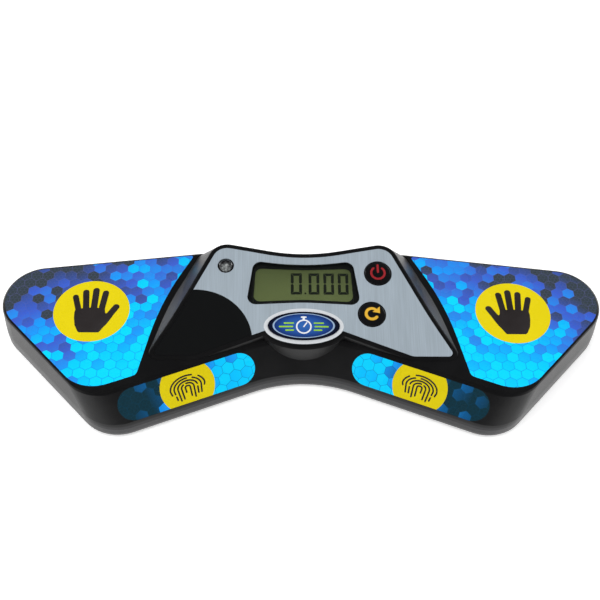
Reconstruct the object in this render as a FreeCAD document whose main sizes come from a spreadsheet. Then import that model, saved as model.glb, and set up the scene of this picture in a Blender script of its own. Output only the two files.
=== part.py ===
"""Speed cube timer with four touch pads, built as an assembly of separate pieces.

The housing is a wide shallow V with a tilted display hump in its middle. Millimetres, +Z up,
+X to the right as the player sees it, -Y towards the player, origin in the middle of the
housing's outline at the height of the table. Pieces of the display are modelled flat, on their
own XY plane, and then tilted by the panel frame; the finger pads use the two bevel frames.
"""
import FreeCAD, Part
import math
import os
import re
import sys

import Sketcher
from FreeCAD import Vector

# Driving dimensions: millimetres and degrees.
SIZES = {
    # Housing outline, from above
    "overall_length": 287, "overall_depth": 91.6,
    "tip_radius": 21, "tip_fall": 4.85,
    "corner_radius": 20, "corner_x": 84.5,
    "rear_radius": 25, "rear_x": 48,
    "waist_radius": 100, "waist_inset": 8.15, "waist_span": 56.05,
    "hollow_radius": 64,
    # Housing, from the side
    "foot_height": 1.5, "plate_thickness": 2.0, "band_height": 8, "wing_height": 22.5,
    "bevel_run": 11.55, "side_draft": 1.2, "rear_draft": 0.4,
    "wall": 2.2, "lip": 1.1, "bevel_soften": 1.6, "plate_chamfer": 0.7,
    "tongue_gap": 0.15, "tongue_thickness": 1.2, "tongue_height": 2,
    # Display hump and its tilted panel
    "panel_height": 26, "panel_tilt": 10.5, "panel_setback": 38.7, "panel_wall": 1.8,
    "hump_rim": 2.4, "hump_soften": 0.7, "hump_hollow_radius": 45,
    "foot_sink": 1.7, "foot_spread": 0.8, "foot_tip_shift": 1.2, "foot_gap": 0.8,
    "foot_rear_x": 47.8, "foot_rear_rise": 41.35, "foot_rear_radius": 5.5, "foot_waist_run": 7.5,
    "rim_inset": 1.0, "foot_inset": 1.5,
    "nose_depth": 14, "nose_soften": 0.6, "nose_wall": 1.6,
    # Printed label on the panel
    "label_thickness": 0.4, "label_gap": 0.1,
    "label_notch_y": -6.6, "label_notch_radius": 10,
    "label_chin_x": 51, "label_chin_y": -10.8, "label_chin_radius": 5,
    "label_tip_x": 66.3, "label_tip_y": -13.9, "label_tip_radius": 1.9,
    "label_bow_x": 56, "label_bow_y": 9.5, "label_bow_radius": 300, "label_bow_angle": 26,
    "label_rear_x": 36.5, "label_rear_y": 33.8, "label_rear_radius": 7.1,
    "label_waist_y": 35.7, "label_waist_radius": 90,
    # Oval badge field in the label's front
    "oval_length": 37.2, "oval_width": 18.4, "oval_y": -0.7,
    "badge_border": 1.9, "badge_thickness": 0.8, "badge_soften": 0.4,
    # Display window
    "window_low_x": 22.3, "window_low_y": 14.6, "window_high_x": 20.2, "window_high_y": 29.4,
    "window_radius": 4, "window_bow": 120,
    "window_thickness": 1.0, "window_seat": 1.2,
    "glass_length": 52, "glass_width": 19.6, "glass_y": 22, "glass_thickness": 2.0,
    "frame_wall": 0.8, "frame_gap": 0.2, "frame_lip": 0.4,
    "view_length": 47.6, "view_width": 18.1, "view_y": 22.35,
    "strip_width": 2.4,
    # Buttons and status light
    "button_radius": 6.2, "button_gap": 0.3, "button_proud": 0.7, "button_soften": 0.6,
    "button_travel": 0.6, "button_flange": 0.9, "button_flange_thickness": 1.0,
    "button_stem_radius": 1.6, "button_float": 0.15, "switch_gap": 0.1,
    "power_x": 35.6, "power_y": 27.4, "reset_x": 31.9, "reset_y": 5.6,
    "lens_x": -37, "lens_y": 31.2, "lens_radius": 3.2, "lens_flange": 1.0, "lens_dome": 0.9,
    "lens_gap": 0.1, "lens_ring": 0.7, "lens_flange_thickness": 0.8,
    "led_radius": 2.5, "led_height": 4.0,
    "switch_size": 6, "switch_height": 2.0, "plunger_radius": 1.7,
    # Circuit board under the panel
    "board_depth": 7.0, "board_thickness": 1.6, "board_length": 86, "board_rear": 33.5,
    "board_front": -2, "board_round": 3,
    "board_post_radius": 2.5, "board_screw_radius": 1.05, "board_screw_length": 6.5,
    "board_side_x": 40, "board_side_y": 17, "board_front_x": 20, "board_front_y": 1.5,
    "chip_size": 10, "chip_thickness": 1.4, "crystal_radius": 1.0, "crystal_length": 6,
    # Palm pads on the wings
    "palm_tip_x": 43.8, "palm_tip_y": 6.75, "film_thickness": 0.4,
    "palm_margin": 1.25, "palm_front_margin": 4.45,
    "palm_inner_x": 78.2, "palm_inner_rise": 7.925, "palm_inner_radius": 3,
    "palm_rear_x": 55, "palm_rear_radius": 1,
    "palm_bow_x": -77.5, "palm_bow_rise": -32.8, "palm_bow_radius": 151.6,
    "foil_thickness": 0.3, "palm_foil_radius": 16, "foil_tail_width": 6, "foil_tail_x": 68,
    # Finger pads on the bevels
    "finger_overhang": 7.66, "finger_width": 15.6, "finger_shift": 0.21, "finger_down": 9.0,
    "finger_foil_inset": 5.34, "finger_foil_width": 11,
    # Battery bay and its door
    "cell_length": 43.7, "cell_radius": 5.25, "cell_nub": 0.8, "cell_nub_radius": 1.9,
    "cell_gap": 0.4, "cell_pitch": 11, "bay_setback": 30.95, "bay_length": 51,
    "bay_width": 22.6,
    "bay_wall": 2.4, "bay_roof": 1.4,
    "door_thickness": 1.8, "door_ledge": 1.2, "door_gap": 0.25,
    "tab_x": 16, "tab_width": 6, "tab_reach": 1.6, "tab_thickness": 0.8, "tab_gap": 0.2,
    "tab_room": 3.4, "notch_radius": 5, "notch_depth": 1.0, "notch_reach": 1.6,
    "contact_thickness": 0.4, "contact_width": 8.6, "spring_wire": 0.35,
    "spring_radius": 3.0, "spring_turns": 3,
    # Data socket in the rear wall
    "jack_height": 12, "jack_length": 11, "jack_width": 8, "jack_tall": 6.2,
    "jack_nose_radius": 2.9, "jack_bore_radius": 1.8, "jack_bore_depth": 12, "jack_gap": 0.1,
    "jack_board_length": 14, "jack_board_width": 12.5, "jack_board_thickness": 1.2,
    "jack_post_radius": 2,
    # Fasteners, feet and mat sockets
    "boss_radius": 3.4, "post_radius": 3.9, "post_height": 2.5,
    "screw_radius": 1.3, "screw_length": 10, "screw_head_radius": 2.5, "screw_head": 1.8,
    "screw_gap": 0.1, "screw_sink": 2.2, "drive_radius": 1.0, "drive_depth": 0.9,
    "foot_radius": 5, "foot_seat": 0.5,
    "socket_x": 76, "socket_y": 3, "socket_radius": 5.2, "socket_depth": 5, "socket_wall": 1.8,
}

# Dimensions that follow from the ones above.
LAYOUT = {
    "tip_x": "overall_length / 2 - tip_radius",
    "corner_y": "corner_radius - overall_depth / 2",
    "rear_y": "overall_depth / 2 - rear_radius",
    "tip_y": "rear_y - tip_fall",
    "waist_y": "overall_depth / 2 - waist_inset",
    "waist_centre": "waist_y + waist_radius",
    "hollow_centre": "waist_y - waist_span - hollow_radius",
    "panel_y": "waist_y - panel_setback",
    "bay_y": "waist_y - bay_setback",
    "front_heading": "asin((corner_radius + hollow_radius) / sqrt(corner_x ^ 2"
                     " + (corner_y - hollow_centre) ^ 2))"
                     " - atan2(corner_y - hollow_centre; corner_x)",
    "side_heading": "atan2(tip_y - corner_y; tip_x - corner_x) - asin((tip_radius - corner_radius)"
                    " / sqrt((tip_x - corner_x) ^ 2 + (tip_y - corner_y) ^ 2))",
    "rear_fall": "asin((rear_radius - tip_radius) / sqrt((tip_x - rear_x) ^ 2"
                 " + (tip_y - rear_y) ^ 2)) + atan2(rear_y - tip_y; tip_x - rear_x)",
    "shoulder_slide": "(bevel_run - side_draft) / sin(front_heading + side_heading)",
    "bevel_height": "wing_height - band_height",
    "bevel_tilt": "atan(bevel_height / bevel_run)",
    "bevel_wall": "wall * sin(bevel_tilt)",
    "bevel_top_y": "hollow_centre + (hollow_radius + bevel_run) / cos(front_heading)",
    "flat_start": "(hollow_radius + bevel_run) * tan(front_heading)",
    "flat_length": "sqrt(corner_x ^ 2 + (corner_y - hollow_centre) ^ 2"
                   " - (corner_radius + hollow_radius) ^ 2)",
    "finger_along": "flat_start + flat_length / 2 + finger_shift",
    "finger_length": "flat_length + finger_overhang",
    "finger_foil_length": "flat_length - finger_foil_inset",
    "parting": "foot_height + plate_thickness",
    "roof_height": "wing_height - wall",
    "label_heading": "asin((label_chin_radius + label_notch_radius) / sqrt(label_chin_x ^ 2"
                     " + (label_chin_y - label_notch_y) ^ 2))"
                     " - atan2(label_chin_y - label_notch_y; label_chin_x)",
    "hump_hollow_y": "label_notch_y + (label_notch_radius - hump_hollow_radius)"
                     " / cos(label_heading)",
    "screw_seat": "foot_height + screw_sink - screw_head",
    "screw_tip": "screw_seat + screw_length",
    "post_top": "parting + post_height",
    "board_top": "-board_depth",
    "glass_top": "-(panel_wall + window_thickness + frame_lip)",
    "button_seat": "-(panel_wall + button_float)",
    "flange_bottom": "-(panel_wall + button_float + button_flange_thickness)",
    "plunger_top": "switch_height + plunger_rise",
    "plunger_rise": "0.4 * switch_height",
    "door_top": "foot_height + door_thickness",
    "cell_height": "door_top + cell_gap + cell_radius",
    "bay_ceiling": "cell_height + cell_radius + cell_gap",
    "spring_length": "bay_length - 2 * contact_thickness - cell_nub - cell_length"
                     " - 2 * spring_wire",
    "bay_front": "bay_y - bay_width / 2",
    "bay_back": "bay_y + bay_width / 2",
    "palm_x": "overall_length / 2 - palm_tip_x",
    "palm_y": "tip_y - palm_tip_y",
    "palm_inner_y": "bevel_top_y - palm_inner_x * tan(front_heading) + palm_inner_rise",
    "palm_bow_y": "panel_y + palm_bow_rise",
    "palm_slide": "shoulder_slide + (palm_front_margin - palm_margin)"
                  " / sin(front_heading + side_heading)",
    "palm_rear_y": "(rear_x * sin(rear_fall) + rear_y * cos(rear_fall) + rear_radius - rear_draft"
                   " - palm_margin - palm_rear_radius - palm_rear_x * sin(rear_fall))"
                   " / cos(rear_fall)",
    "jack_face": "waist_y - rear_draft",
}

WORLD = "placement(vector(0; 0; 0); rotation(0; 0; 0))"
PANEL = "placement(vector(0; panel_y; panel_height); rotation(0; 0; panel_tilt))"


def bevel_frame(side):
    """Frame of one finger bevel: +X along its top edge, +Z out of its face."""
    turn = "-front_heading" if side > 0 else "front_heading"
    return f"placement(vector(0; bevel_top_y; wing_height); rotation({turn}; 0; bevel_tilt))"


doc = FreeCAD.newDocument("SpeedCubeTimer")


def linked(text):
    """The expression with every named dimension written as its cell."""
    def cell(found):
        word = found.group(0)
        if word in SIZES:
            return "Sizes." + word
        return "Layout." + word if word in LAYOUT else word
    return re.sub(r"[a-z]\w*", cell, text)


def add_sheets():
    """The two sheets: driving dimensions as plain numbers, and what follows from them."""
    sizes = doc.addObject("Spreadsheet::Sheet", "Sizes")
    for row, (name, value) in enumerate(SIZES.items(), 1):
        sizes.set(f"A{row}", name)
        sizes.set(f"B{row}", str(value))
        sizes.setAlias(f"B{row}", name)
    layout = doc.addObject("Spreadsheet::Sheet", "Layout")
    for row, name in enumerate(LAYOUT, 2):
        layout.set(f"A{row}", name)
        layout.setAlias(f"B{row}", name)
    for row, formula in enumerate(LAYOUT.values(), 2):
        layout.set(f"B{row}", "=" + linked(formula))
    doc.recompute()


def number(text):
    """Present value of an expression of the named dimensions, from a cell of its own sheet."""
    probe.set("A1", "=" + linked(text))
    probe.recompute()
    value = probe.get("A1")
    return float(getattr(value, "Value", value))


# Sketches ---------------------------------------------------------------------------------

def plane(body, role="XY_Plane"):
    return next(item for item in body.Origin.OriginFeatures if item.Role == role)


def sketch(body, name, height="0", frame=WORLD):
    """A sketch in `body`, at a height along the normal of `frame`."""
    drawing = body.newObject("Sketcher::SketchObject", name)
    drawing.AttachmentSupport = [(plane(body), "")]
    drawing.MapMode = "FlatFace"
    lift = f"placement(vector(0; 0; {height}); rotation(0; 0; 0))"
    drawing.setExpression("AttachmentOffset", linked(f"{frame} * {lift}"))
    return drawing


def bind(drawing, kind, *terms):
    """A dimension of the sketch, tied to the expression in the last term."""
    text = terms[-1]
    index = drawing.addConstraint(Sketcher.Constraint(kind, *terms[:-1], number(text)))
    drawing.setExpression(f"Constraints[{index}]", linked(text))


def locate(drawing, geometry, corner, x, y):
    """Tie a point of the sketch to its place, on an axis where a coordinate is 0."""
    for kind, text, axis in (("DistanceX", x, -2), ("DistanceY", y, -1)):
        if text == "0":
            drawing.addConstraint(Sketcher.Constraint("PointOnObject", geometry, corner, axis))
        else:
            bind(drawing, kind, -1, 1, geometry, corner, text)


def straight(first, second):
    """Ends of the straight run from one signed round to the next."""
    (x1, y1, r1), (x2, y2, r2) = first, second
    reach = math.hypot(x2 - x1, y2 - y1)
    heading = math.atan2(y2 - y1, x2 - x1) - math.asin((r2 - r1) / reach)
    left = Vector(-math.sin(heading), math.cos(heading), 0)
    return Vector(x1, y1, 0) - left * r1, Vector(x2, y2, 0) - left * r2


def belt(drawing, rounds):
    """A closed outline of straight runs tangent to rounds, listed anticlockwise.

    Each round is (x, y, radius, turn): turn 1 bulges outwards, turn -1 hollows inwards.
    """
    values = [(number(x), number(y), turn * number(radius)) for x, y, radius, turn in rounds]
    following = values[1:] + values[:1]
    runs = [straight(here, after) for here, after in zip(values, following)]
    lines = [drawing.addGeometry(Part.LineSegment(*run), False) for run in runs]
    for index, (x, y, radius, turn) in enumerate(rounds):
        middle = Vector(values[index][0], values[index][1], 0)
        ends = (runs[index - 1][1], runs[index][0])[::turn]
        start, stop = (math.atan2(end.y - middle.y, end.x - middle.x) for end in ends)
        stop += 2 * math.pi if stop < start else 0
        circle = Part.Circle(middle, Vector(0, 0, 1), abs(values[index][2]))
        arc = drawing.addGeometry(Part.ArcOfCircle(circle, start, stop), False)
        near, far = (1, 2)[::turn]
        drawing.addConstraint(Sketcher.Constraint("Tangent", lines[index - 1], 2, arc, near))
        drawing.addConstraint(Sketcher.Constraint("Tangent", arc, far, lines[index], 1))
        bind(drawing, "Radius", arc, radius)
        locate(drawing, arc, 3, x, y)
    return drawing


def discs(drawing, spots, radius):
    """Circles of one radius at the given spots."""
    for x, y in spots:
        middle = Vector(number(x), number(y), 0)
        circle = Part.Circle(middle, Vector(0, 0, 1), number(radius))
        index = drawing.addGeometry(circle, False)
        locate(drawing, index, 3, x, y)
        bind(drawing, "Radius", index, radius)
    return drawing


def box(drawing, left, right, front, back):
    """A rectangle between four lines."""
    low = Vector(number(left), number(front), 0)
    high = Vector(number(right), number(back), 0)
    corners = [low, Vector(high.x, low.y, 0), high, Vector(low.x, high.y, 0)]
    sides = [drawing.addGeometry(Part.LineSegment(corners[i], corners[(i + 1) % 4]), False)
             for i in range(4)]
    for index, side in enumerate(sides):
        after = sides[(index + 1) % 4]
        drawing.addConstraint(Sketcher.Constraint("Coincident", side, 2, after, 1))
        kind = "Vertical" if index % 2 else "Horizontal"
        drawing.addConstraint(Sketcher.Constraint(kind, side))
    bind(drawing, "DistanceX", -1, 1, sides[0], 1, left)
    bind(drawing, "DistanceY", -1, 1, sides[0], 1, front)
    bind(drawing, "DistanceX", -1, 1, sides[1], 2, right)
    bind(drawing, "DistanceY", -1, 1, sides[1], 2, back)
    return drawing


def oval(drawing, border):
    """The ellipse of the badge field, grown by a border."""
    long, short = f"oval_length + 2 * ({border})", f"oval_width + 2 * ({border})"
    middle = Vector(0, number("oval_y"), 0)
    ends = Vector(number(long) / 2, middle.y, 0), Vector(0, middle.y + number(short) / 2, 0)
    ellipse = drawing.addGeometry(Part.Ellipse(*ends, middle), False)
    drawing.exposeInternalGeometry(ellipse)
    drawing.addConstraint(Sketcher.Constraint("Horizontal", ellipse + 1))
    bind(drawing, "Distance", ellipse + 1, long)
    bind(drawing, "Distance", ellipse + 2, short)
    locate(drawing, ellipse, 3, "0", "oval_y")
    return drawing


# Features ---------------------------------------------------------------------------------

def new_body(name, frame=WORLD):
    """An empty body, set in `frame`."""
    body = doc.addObject("PartDesign::Body", name)
    body.AllowCompound = True
    if frame != WORLD:
        body.setExpression("Placement", linked(frame))
    return body


def pad(body, profile, length, up=True, taper=None):
    feature = body.newObject("PartDesign::Pad", profile.Name + "Pad")
    feature.Profile = profile
    feature.setExpression("Length", linked(length))
    feature.Reversed = not up
    if taper:
        feature.setExpression("TaperAngle", linked(taper))
    return feature


def pocket(body, profile, depth, up=False):
    feature = body.newObject("PartDesign::Pocket", profile.Name + "Pocket")
    feature.Profile = profile
    feature.setExpression("Length", linked(depth))
    feature.Reversed = up
    return feature


def loft(body, sections, name):
    feature = body.newObject("PartDesign::AdditiveLoft", name)
    feature.Profile = sections[0]
    feature.Sections = sections[1:]
    feature.Ruled = True
    return feature


def combine(body, kind, tools, name):
    feature = body.newObject("PartDesign::Boolean", name)
    feature.setObjects(tools)
    feature.Type = kind
    return feature


def edges_where(shape, test):
    return [f"Edge{i}" for i, edge in enumerate(shape.Edges, 1) if test(edge)]


def dress(body, kind, test, size, name):
    """A fillet or chamfer on the edges of the body's last feature that pass the test."""
    doc.recompute()
    tip = body.Tip
    feature = body.newObject("PartDesign::" + kind, name)
    feature.Base = (tip, edges_where(tip.Shape, test))
    feature.setExpression("Radius" if kind == "Fillet" else "Size", linked(size))
    doc.recompute()
    return feature


def level(height):
    """Test for edges that lie wholly at one height of the world."""
    goal = number(height)
    return lambda edge: all(abs(point.z - goal) < 0.01 for point in edge.discretize(4))


def on_panel(height):
    """Test for edges that lie wholly in a plane parallel to the panel."""
    tilt = math.radians(number("panel_tilt"))
    normal = Vector(0, -math.sin(tilt), math.cos(tilt))
    goal = Vector(0, number("panel_y"), number("panel_height")).dot(normal) + number(height)
    return lambda edge: all(abs(point.dot(normal) - goal) < 0.01 for point in edge.discretize(4))


def mirrored(items):
    """The items, and their mirror images on the left side."""
    return items + [(f"-({x})", y) for x, y in items]


def mirrored_rounds(rounds):
    return [(f"-({x})", y, radius, turn) for x, y, radius, turn in reversed(rounds)]


# Outlines ---------------------------------------------------------------------------------

def housing_outline(inset="0", raised="0"):
    """Rounds of the housing's outline, inset, at a share of the way up the bevel."""
    slide = f"shoulder_slide * ({raised})"
    side = f"side_draft * ({raised}) - ({inset})"
    rear = f"rear_draft * ({raised}) + ({inset})"
    right = [
        (f"corner_x + {slide} * cos(side_heading)", f"corner_y + {slide} * sin(side_heading)",
         f"corner_radius - side_draft * ({raised}) - ({inset})", 1),
        ("tip_x", "tip_y", f"tip_radius - side_draft * ({raised}) - ({inset})", 1),
        ("rear_x", "rear_y", f"rear_radius - ({rear})", 1),
    ]
    front = ("0", "hollow_centre", f"hollow_radius + bevel_run * ({raised}) + ({inset})", -1)
    waist = ("0", "waist_centre", f"waist_radius + {rear}", -1)
    return [front] + right + [waist] + mirrored_rounds(right)


BOW = ("label_bow_x + label_bow_radius * cos(label_bow_angle)",
       "label_bow_y + label_bow_radius * sin(label_bow_angle)")


def label_outline(grow="0"):
    """Rounds of the label's outline, without its oval, grown outwards."""
    right = [
        ("label_chin_x", "label_chin_y", f"label_chin_radius + {grow}", 1),
        ("label_tip_x", "label_tip_y", f"label_tip_radius + {grow}", 1),
        (*BOW, f"label_bow_radius - ({grow})", -1),
        ("label_rear_x", "label_rear_y", f"label_rear_radius + {grow}", 1),
    ]
    notch = ("0", "label_notch_y", f"label_notch_radius - ({grow})", -1)
    waist = ("0", "label_waist_y + label_waist_radius", f"label_waist_radius - ({grow})", -1)
    return [notch] + right + [waist] + mirrored_rounds(right)


def hump_outline(grow):
    """Rounds of the display hump's rim, around the label, on the panel."""
    right = [
        ("label_chin_x", "label_chin_y", f"label_chin_radius + {grow}", 1),
        ("label_tip_x", "label_tip_y", f"label_tip_radius + {grow}", 1),
        (*BOW, f"label_bow_radius - ({grow})", -1),
        ("label_rear_x", "label_rear_y", f"label_rear_radius + {grow}", 1),
    ]
    hollow = ("0", "hump_hollow_y", f"hump_hollow_radius - ({grow})", -1)
    waist = ("0", "label_waist_y + label_waist_radius", f"label_waist_radius - ({grow})", -1)
    return [hollow] + right + [waist] + mirrored_rounds(right)


def foot_outline(inset):
    """Rounds of the hump's foot on the wings: steep in front, and wide beside the label.

    Beside the label it keeps a gap to the palm films, and at the back it passes the rear wall.
    """
    def plan(along):
        return f"panel_y + ({along}) * cos(panel_tilt)"

    out = f"hump_rim + foot_spread - ({inset})"
    right = [
        ("label_chin_x", plan("label_chin_y"), f"label_chin_radius + {out}", 1),
        ("label_tip_x + foot_tip_shift", plan("label_tip_y"), f"label_tip_radius + {out}", 1),
        ("palm_bow_x", "palm_bow_y", f"palm_bow_radius - foot_gap - ({inset})", 1),
        ("foot_rear_x", "panel_y + foot_rear_rise", f"foot_rear_radius - ({inset})", 1),
    ]
    hollow = ("0", plan("hump_hollow_y"), f"hump_hollow_radius - ({out})", -1)
    waist = ("0", plan("label_waist_y + label_waist_radius"),
             f"label_waist_radius - foot_waist_run + {inset}", -1)
    return [hollow] + right + [waist] + mirrored_rounds(right)


def window_outline(grow="0"):
    """Rounds of the display window: a trapezium with a hollow top and bottom."""
    corner = f"window_radius + {grow}"
    bow = f"window_bow - ({grow})"
    right = [("window_low_x", "window_low_y", corner, 1),
             ("window_high_x", "window_high_y", corner, 1)]
    low = ("0", "window_low_y - window_radius - window_bow + 1", bow, -1)
    high = ("0", "window_high_y + window_radius + window_bow - 1.6", bow, -1)
    return [low] + right + [high] + mirrored_rounds(right)


def palm_outline(side):
    """Rounds of a palm pad's film on one wing."""
    rounds = [
        ("palm_inner_x", "palm_inner_y", "palm_inner_radius", 1),
        ("corner_x + palm_slide * cos(side_heading)", "corner_y + palm_slide * sin(side_heading)",
         "corner_radius - side_draft - palm_margin", 1),
        ("tip_x", "tip_y", "tip_radius - side_draft - palm_margin", 1),
        ("palm_rear_x", "palm_rear_y", "palm_rear_radius", 1),
        ("palm_bow_x", "palm_bow_y", "palm_bow_radius", -1),
    ]
    return rounds if side > 0 else mirrored_rounds(rounds)


def slot_outline(length, width):
    """Rounds of a long slot with full round ends."""
    reach = f"({length} - {width}) / 2"
    return [(f"-({reach})", "0", f"{width} / 2", 1), (reach, "0", f"{width} / 2", 1)]


HOUSING_SCREWS = mirrored([("tip_x", "tip_y"), ("corner_x", "corner_y + 2"),
                           ("rear_x + 14", "rear_y + 9")])
BOARD_SCREWS = mirrored([("board_side_x", "board_side_y"), ("board_front_x", "board_front_y")])
FEET = mirrored([("tip_x + 10", "tip_y - 3"), ("corner_x + 5", "corner_y - 8"),
                 ("rear_x - 2", "rear_y + 17")])
SOCKETS = mirrored([("socket_x", "socket_y")])


# Housing ----------------------------------------------------------------------------------

# The rounded lips of the wings and the hump, as falls and setbacks in shares of its size.
LIP_CURVE = ((1, 0), (0.3, 0.3), (0, 1))


def wing_form(body, tag, low, inset, drop, soften):
    """The wings: an upright band, and above it the bevel up to the roof.

    The bevel is a ruled loft from outline to outline, with a narrow one to soften its foot.
    """
    band = f"band_height - ({soften})"
    pad(body, belt(sketch(body, tag + "Band", low), housing_outline(inset)), f"{band} - ({low})")
    levels = [(band, "0", inset)]
    if soften != "0":
        rise = f"({soften}) * sin(bevel_tilt)"
        levels.append((f"band_height + {rise}", f"{rise} / bevel_height", inset))
        levels += [(f"wing_height - lip * {fall}", f"1 - lip * {fall} / bevel_height",
                    f"{inset} + lip * {back}") for fall, back in LIP_CURVE]
    else:
        levels.append((f"wing_height - ({drop})", f"1 - ({drop}) / bevel_height", inset))
    for step, pair in enumerate(zip(levels, levels[1:]), 1):
        sections = [belt(sketch(body, f"{tag}Slope{step}{end}", height),
                         housing_outline(edge, raised))
                    for end, (height, raised, edge) in zip("AB", pair)]
        loft(body, sections, f"{tag}Slope{step}")


def hump_form(name, tag, grow, drop, sink, foot_inset, wall_inset):
    """The display hump: from its rim down to its foot in the wings, trimmed to the rear wall."""
    body = new_body(name)
    rims = [(drop, grow)]
    if drop == "0":
        rims = [(f"hump_soften * {fall}", f"{grow} - hump_soften * {back}")
                for fall, back in reversed(LIP_CURVE)]
    for step, pair in enumerate(zip(rims, rims[1:]), 1):
        edge = [belt(sketch(body, f"{tag}Edge{step}{end}", f"-({level})", PANEL),
                     hump_outline(border)) for end, (level, border) in zip("AB", pair)]
        loft(body, edge, f"{tag}Edge{step}")
    rim = belt(sketch(body, tag + "Rim", f"-({rims[-1][0]})", PANEL), hump_outline(rims[-1][1]))
    foot = belt(sketch(body, tag + "Foot", f"wing_height - ({sink})"), foot_outline(foot_inset))
    loft(body, [rim, foot], tag + "Loft")
    trim = sketch(body, tag + "Trim")
    box(trim, "-overall_length", "overall_length", "-overall_length", "overall_length")
    belt(trim, housing_outline(wall_inset, "1"))
    pocket(body, trim, "3 * wing_height", up=True)
    return body


def nose_form(name, tag, border, drop):
    """The oval nose under the badge, straight down from the panel."""
    body = new_body(name)
    block = pad(body, oval(sketch(body, tag + "Oval", f"-({drop})", PANEL), border),
                "nose_depth")
    block.UseCustomVector = True
    block.AlongSketchNormal = False
    block.Direction = Vector(0, 0, -1)
    if drop == "0":
        dress(body, "Chamfer", on_panel("0"), "nose_soften", tag + "Edge")
    return body


def top_shell():
    body = new_body("top_shell")
    wing_form(body, "Wing", "parting", "0", "0", "bevel_soften")
    outer = [hump_form("display_hump", "Hump", "hump_rim", "0", "foot_sink", "0", "0"),
             nose_form("badge_nose", "Nose", "hump_rim", "0")]
    combine(body, "Fuse", outer, "Humps")
    hollow = new_body("wing_hollow")
    wing_form(hollow, "Hollow", "parting - 1", "wall", "wall", "0")
    inner = hump_form("display_hollow", "Inner", "hump_rim - rim_inset", "panel_wall",
                      "wall + foot_sink", "foot_inset", "wall")
    for cutter, tag in ((hollow, "Wing"), (inner, "Hump")):
        leave_posts(cutter, tag)
    nose = nose_form("nose_hollow", "InnerNose", "hump_rim - nose_wall", "panel_wall")
    combine(body, "Cut", [hollow, inner, nose], "Hollow")
    cut_pads(body)
    cut_panel(body)
    hole = discs(upright(body, "JackHole", "jack_face + wall"), [("0", "jack_height")],
                 "jack_nose_radius + jack_gap")
    pocket(body, hole, "3 * wall", up=True)
    return body


def leave_posts(cutter, tag):
    """Cores in a cavity cutter, so that screw posts with pilot holes stay standing."""
    for name, spots, frame, low, radius, pilot, depth in (
            ("Posts", HOUSING_SCREWS, WORLD, "post_top", "boss_radius",
             "screw_radius + screw_gap / 2", "screw_tip + 1 - post_top"),
            ("BoardPosts", BOARD_SCREWS, PANEL, "board_top", "board_post_radius",
             "board_screw_radius + screw_gap / 2", "board_screw_length - board_thickness")):
        ring = discs(sketch(cutter, tag + name, low, frame), spots, radius)
        pocket(cutter, ring, "2 * wing_height", up=True)
        core = discs(sketch(cutter, f"{tag}{name}Pilot", low, frame), spots, pilot)
        pad(cutter, core, depth)


def cut_pads(body):
    """Shallow seats for the printed films of the palm and finger pads."""
    for side, tag in ((1, "Right"), (-1, "Left")):
        seat = belt(sketch(body, "PalmSeat" + tag, "wing_height"), palm_outline(side))
        pocket(body, seat, "film_thickness")
        seat = sketch(body, "FingerSeat" + tag, "film_thickness", finger_frame(side))
        belt(seat, slot_outline("finger_length", "finger_width"))
        pocket(body, seat, "2 * film_thickness")


def finger_frame(side):
    """Frame in the middle of a finger pad, on the bevel's face."""
    along = "finger_along" if side > 0 else "-finger_along"
    shift = f"placement(vector({along}; -finger_down; 0); rotation(0; 0; 0))"
    return f"{bevel_frame(side)} * {shift}"


def cut_panel(body):
    """The label's seat and the openings of the panel."""
    pocket(body, belt(sketch(body, "LabelSeat", "0", PANEL), label_outline("label_gap")),
           "label_thickness")
    pocket(body, oval(sketch(body, "OvalSeat", "0", PANEL), "label_gap"), "label_thickness")
    pocket(body, belt(sketch(body, "WindowHole", "0", PANEL), window_outline()), "panel_wall + 1")
    pocket(body, discs(sketch(body, "ButtonHoles", "0", PANEL),
                       [("power_x", "power_y"), ("reset_x", "reset_y")],
                       "button_radius + button_gap"), "panel_wall + 1")
    pocket(body, discs(sketch(body, "LensHole", "0", PANEL), [("lens_x", "lens_y")],
                       "lens_radius + lens_gap"), "panel_wall + 1")


def bottom_shell():
    body = new_body("bottom_shell")
    plate = belt(sketch(body, "Plate", "foot_height"), housing_outline())
    pad(body, plate, "plate_thickness")
    dress(body, "Chamfer", level("foot_height"), "plate_chamfer", "PlateChamfer")
    tongue = sketch(body, "Tongue", "parting")
    belt(tongue, housing_outline("wall + tongue_gap"))
    belt(tongue, housing_outline("wall + tongue_gap + tongue_thickness"))
    pad(body, tongue, "tongue_height")
    pad(body, discs(sketch(body, "ScrewPosts", "parting"), HOUSING_SCREWS, "post_radius"),
        "post_height")
    pad(body, discs(sketch(body, "SocketCups", "parting"), SOCKETS,
                    "socket_radius + socket_wall"), "socket_depth - plate_thickness + wall")
    add_bay(body)
    pad(body, discs(sketch(body, "JackPosts", "parting"), mirrored([("4.5", "jack_face - 7")]),
                    "jack_post_radius"),
        "jack_height - jack_tall / 2 - jack_board_thickness - parting")
    below = "foot_height"
    pocket(body, discs(sketch(body, "ScrewHoles", below), HOUSING_SCREWS,
                       "screw_radius + screw_gap"), "post_top - foot_height", up=True)
    pocket(body, discs(sketch(body, "ScrewSinks", below), HOUSING_SCREWS,
                       "screw_head_radius + 2 * screw_gap"), "screw_sink", up=True)
    pocket(body, discs(sketch(body, "FootSeats", below), FEET, "foot_radius + screw_gap"),
           "foot_seat", up=True)
    pocket(body, discs(sketch(body, "MatSockets", below), SOCKETS, "socket_radius"),
           "socket_depth", up=True)
    return body


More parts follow.
